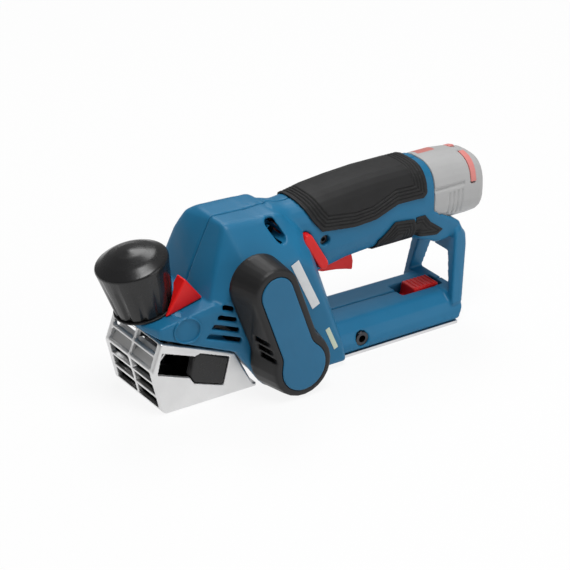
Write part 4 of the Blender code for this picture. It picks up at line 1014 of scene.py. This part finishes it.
bpy.ops.object.select_all(action="DESELECT")
ring_place = spot(EMBLEM[0], -RING_PROUD, EMBLEM[1])
bpy.ops.mesh.primitive_torus_add(
    major_radius=(EMBLEM_RADIUS + 0.3) * MM,
    minor_radius=RING_RADIUS * MM,
    major_segments=72,
    minor_segments=10,
    location=ring_place,
    rotation=(math.radians(90), 0, 0),
)
emblem_ring = bpy.context.object
emblem_ring.name = "emblem_ring"
bpy.ops.object.transform_apply(location=True, rotation=True, scale=True)
drop_on(emblem_ring, housing_left)
shade_round(emblem_ring)
emblem_ring.data.materials.append(blue_shell.material)
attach(emblem_ring, "housing")
print("emblem ring laid")

# %% [markdown]
# ## Light
# A large soft key stands high above the left side, a fill stands lower and further out on
# that side towards the battery, and a rim light stands high on the right. A bright backdrop
# would look as white, but its light would wash out the tool. Here the world is dim to the
# tool and white only where the camera sees it.


# %% Lamps
def lamp(name, place, size, power):
    """A square soft box aimed at the tool."""
    bpy.ops.object.light_add(type="AREA", location=place)
    made = bpy.context.object
    made.name = name
    made.data.size = size
    made.data.energy = power
    made.rotation_mode = "QUATERNION"
    made.rotation_quaternion = (target - Vector(place)).to_track_quat("-Z", "Y")
    return made


lamp("key", (-0.15, -0.50, 1.9), 0.8, 24.0)
lamp("fill", (0.9, -1.7, 0.7), 1.1, 8.0)
lamp("rim", (0.5, 1.1, 1.7), 0.9, 14.0)
print("three lamps set")

# %% World
WORLD_LIGHT = 0.22
WHITE = (1.0, 1.0, 1.0, 1.0)

world = bpy.data.worlds.new("studio")
bpy.context.scene.world = world
world.use_nodes = True
sky = world.node_tree.nodes
links = world.node_tree.links
sky.clear()
rays = sky.new("ShaderNodeLightPath")
seen = sky.new("ShaderNodeMath")
seen.operation = "MAXIMUM"
links.new(rays.outputs["Is Camera Ray"], seen.inputs[0])
links.new(rays.outputs["Is Transmission Ray"], seen.inputs[1])
dim = sky.new("ShaderNodeBackground")
dim.inputs["Color"].default_value = WHITE
dim.inputs["Strength"].default_value = WORLD_LIGHT
white = sky.new("ShaderNodeBackground")
white.inputs["Color"].default_value = WHITE
white.inputs["Strength"].default_value = 1.0
blend = sky.new("ShaderNodeMixShader")
out = sky.new("ShaderNodeOutputWorld")
links.new(seen.outputs[0], blend.inputs[0])
links.new(dim.outputs[0], blend.inputs[1])
links.new(white.outputs[0], blend.inputs[2])
links.new(blend.outputs[0], out.inputs[0])
print("world set")

# %% [markdown]
# ## Floor
# The floor is a pale sheet. Seen by the camera or in a gloss, most of it is self-white, so
# that it runs into the background, and the rest is left to take the tool's shadow.

# %% Floor
FLOOR_GLOW = 0.89
FLOOR_GREY = (0.86, 0.86, 0.86, 1.0)
FLOOR_WIDTH = 5.0
FLOOR_DROP = 0.0002  # just under the soles, so that the faces don't flicker


def floor_finish():
    """Pale floor: mostly self-white to the camera, with the rest left to take the shadow."""
    f = Finish("studio_floor", roughness=0.9)
    f.surface.inputs["Base Color"].default_value = FLOOR_GREY
    path = f.tree.nodes.new("ShaderNodeLightPath")
    camera_ray = Value(f, path.outputs["Is Camera Ray"])
    glossy_ray = Value(f, path.outputs["Is Glossy Ray"])
    seen_ray = camera_ray.maths("MAXIMUM", camera_ray, glossy_ray)
    glow = f.tree.nodes.new("ShaderNodeEmission")
    mixed = f.tree.nodes.new("ShaderNodeMixShader")
    share = seen_ray * FLOOR_GLOW
    f.tree.links.new(share.socket, mixed.inputs[0])
    f.tree.links.new(f.surface.outputs[0], mixed.inputs[1])
    f.tree.links.new(glow.outputs[0], mixed.inputs[2])
    f.tree.links.new(mixed.outputs[0], f.output.inputs[0])
    return f


bpy.ops.object.select_all(action="DESELECT")
bpy.ops.mesh.primitive_plane_add(size=FLOOR_WIDTH, location=(0, 0, -FLOOR_DROP))
floor = bpy.context.object
floor.name = "floor"
floor.data.materials.append(floor_finish().material)
print("floor laid")
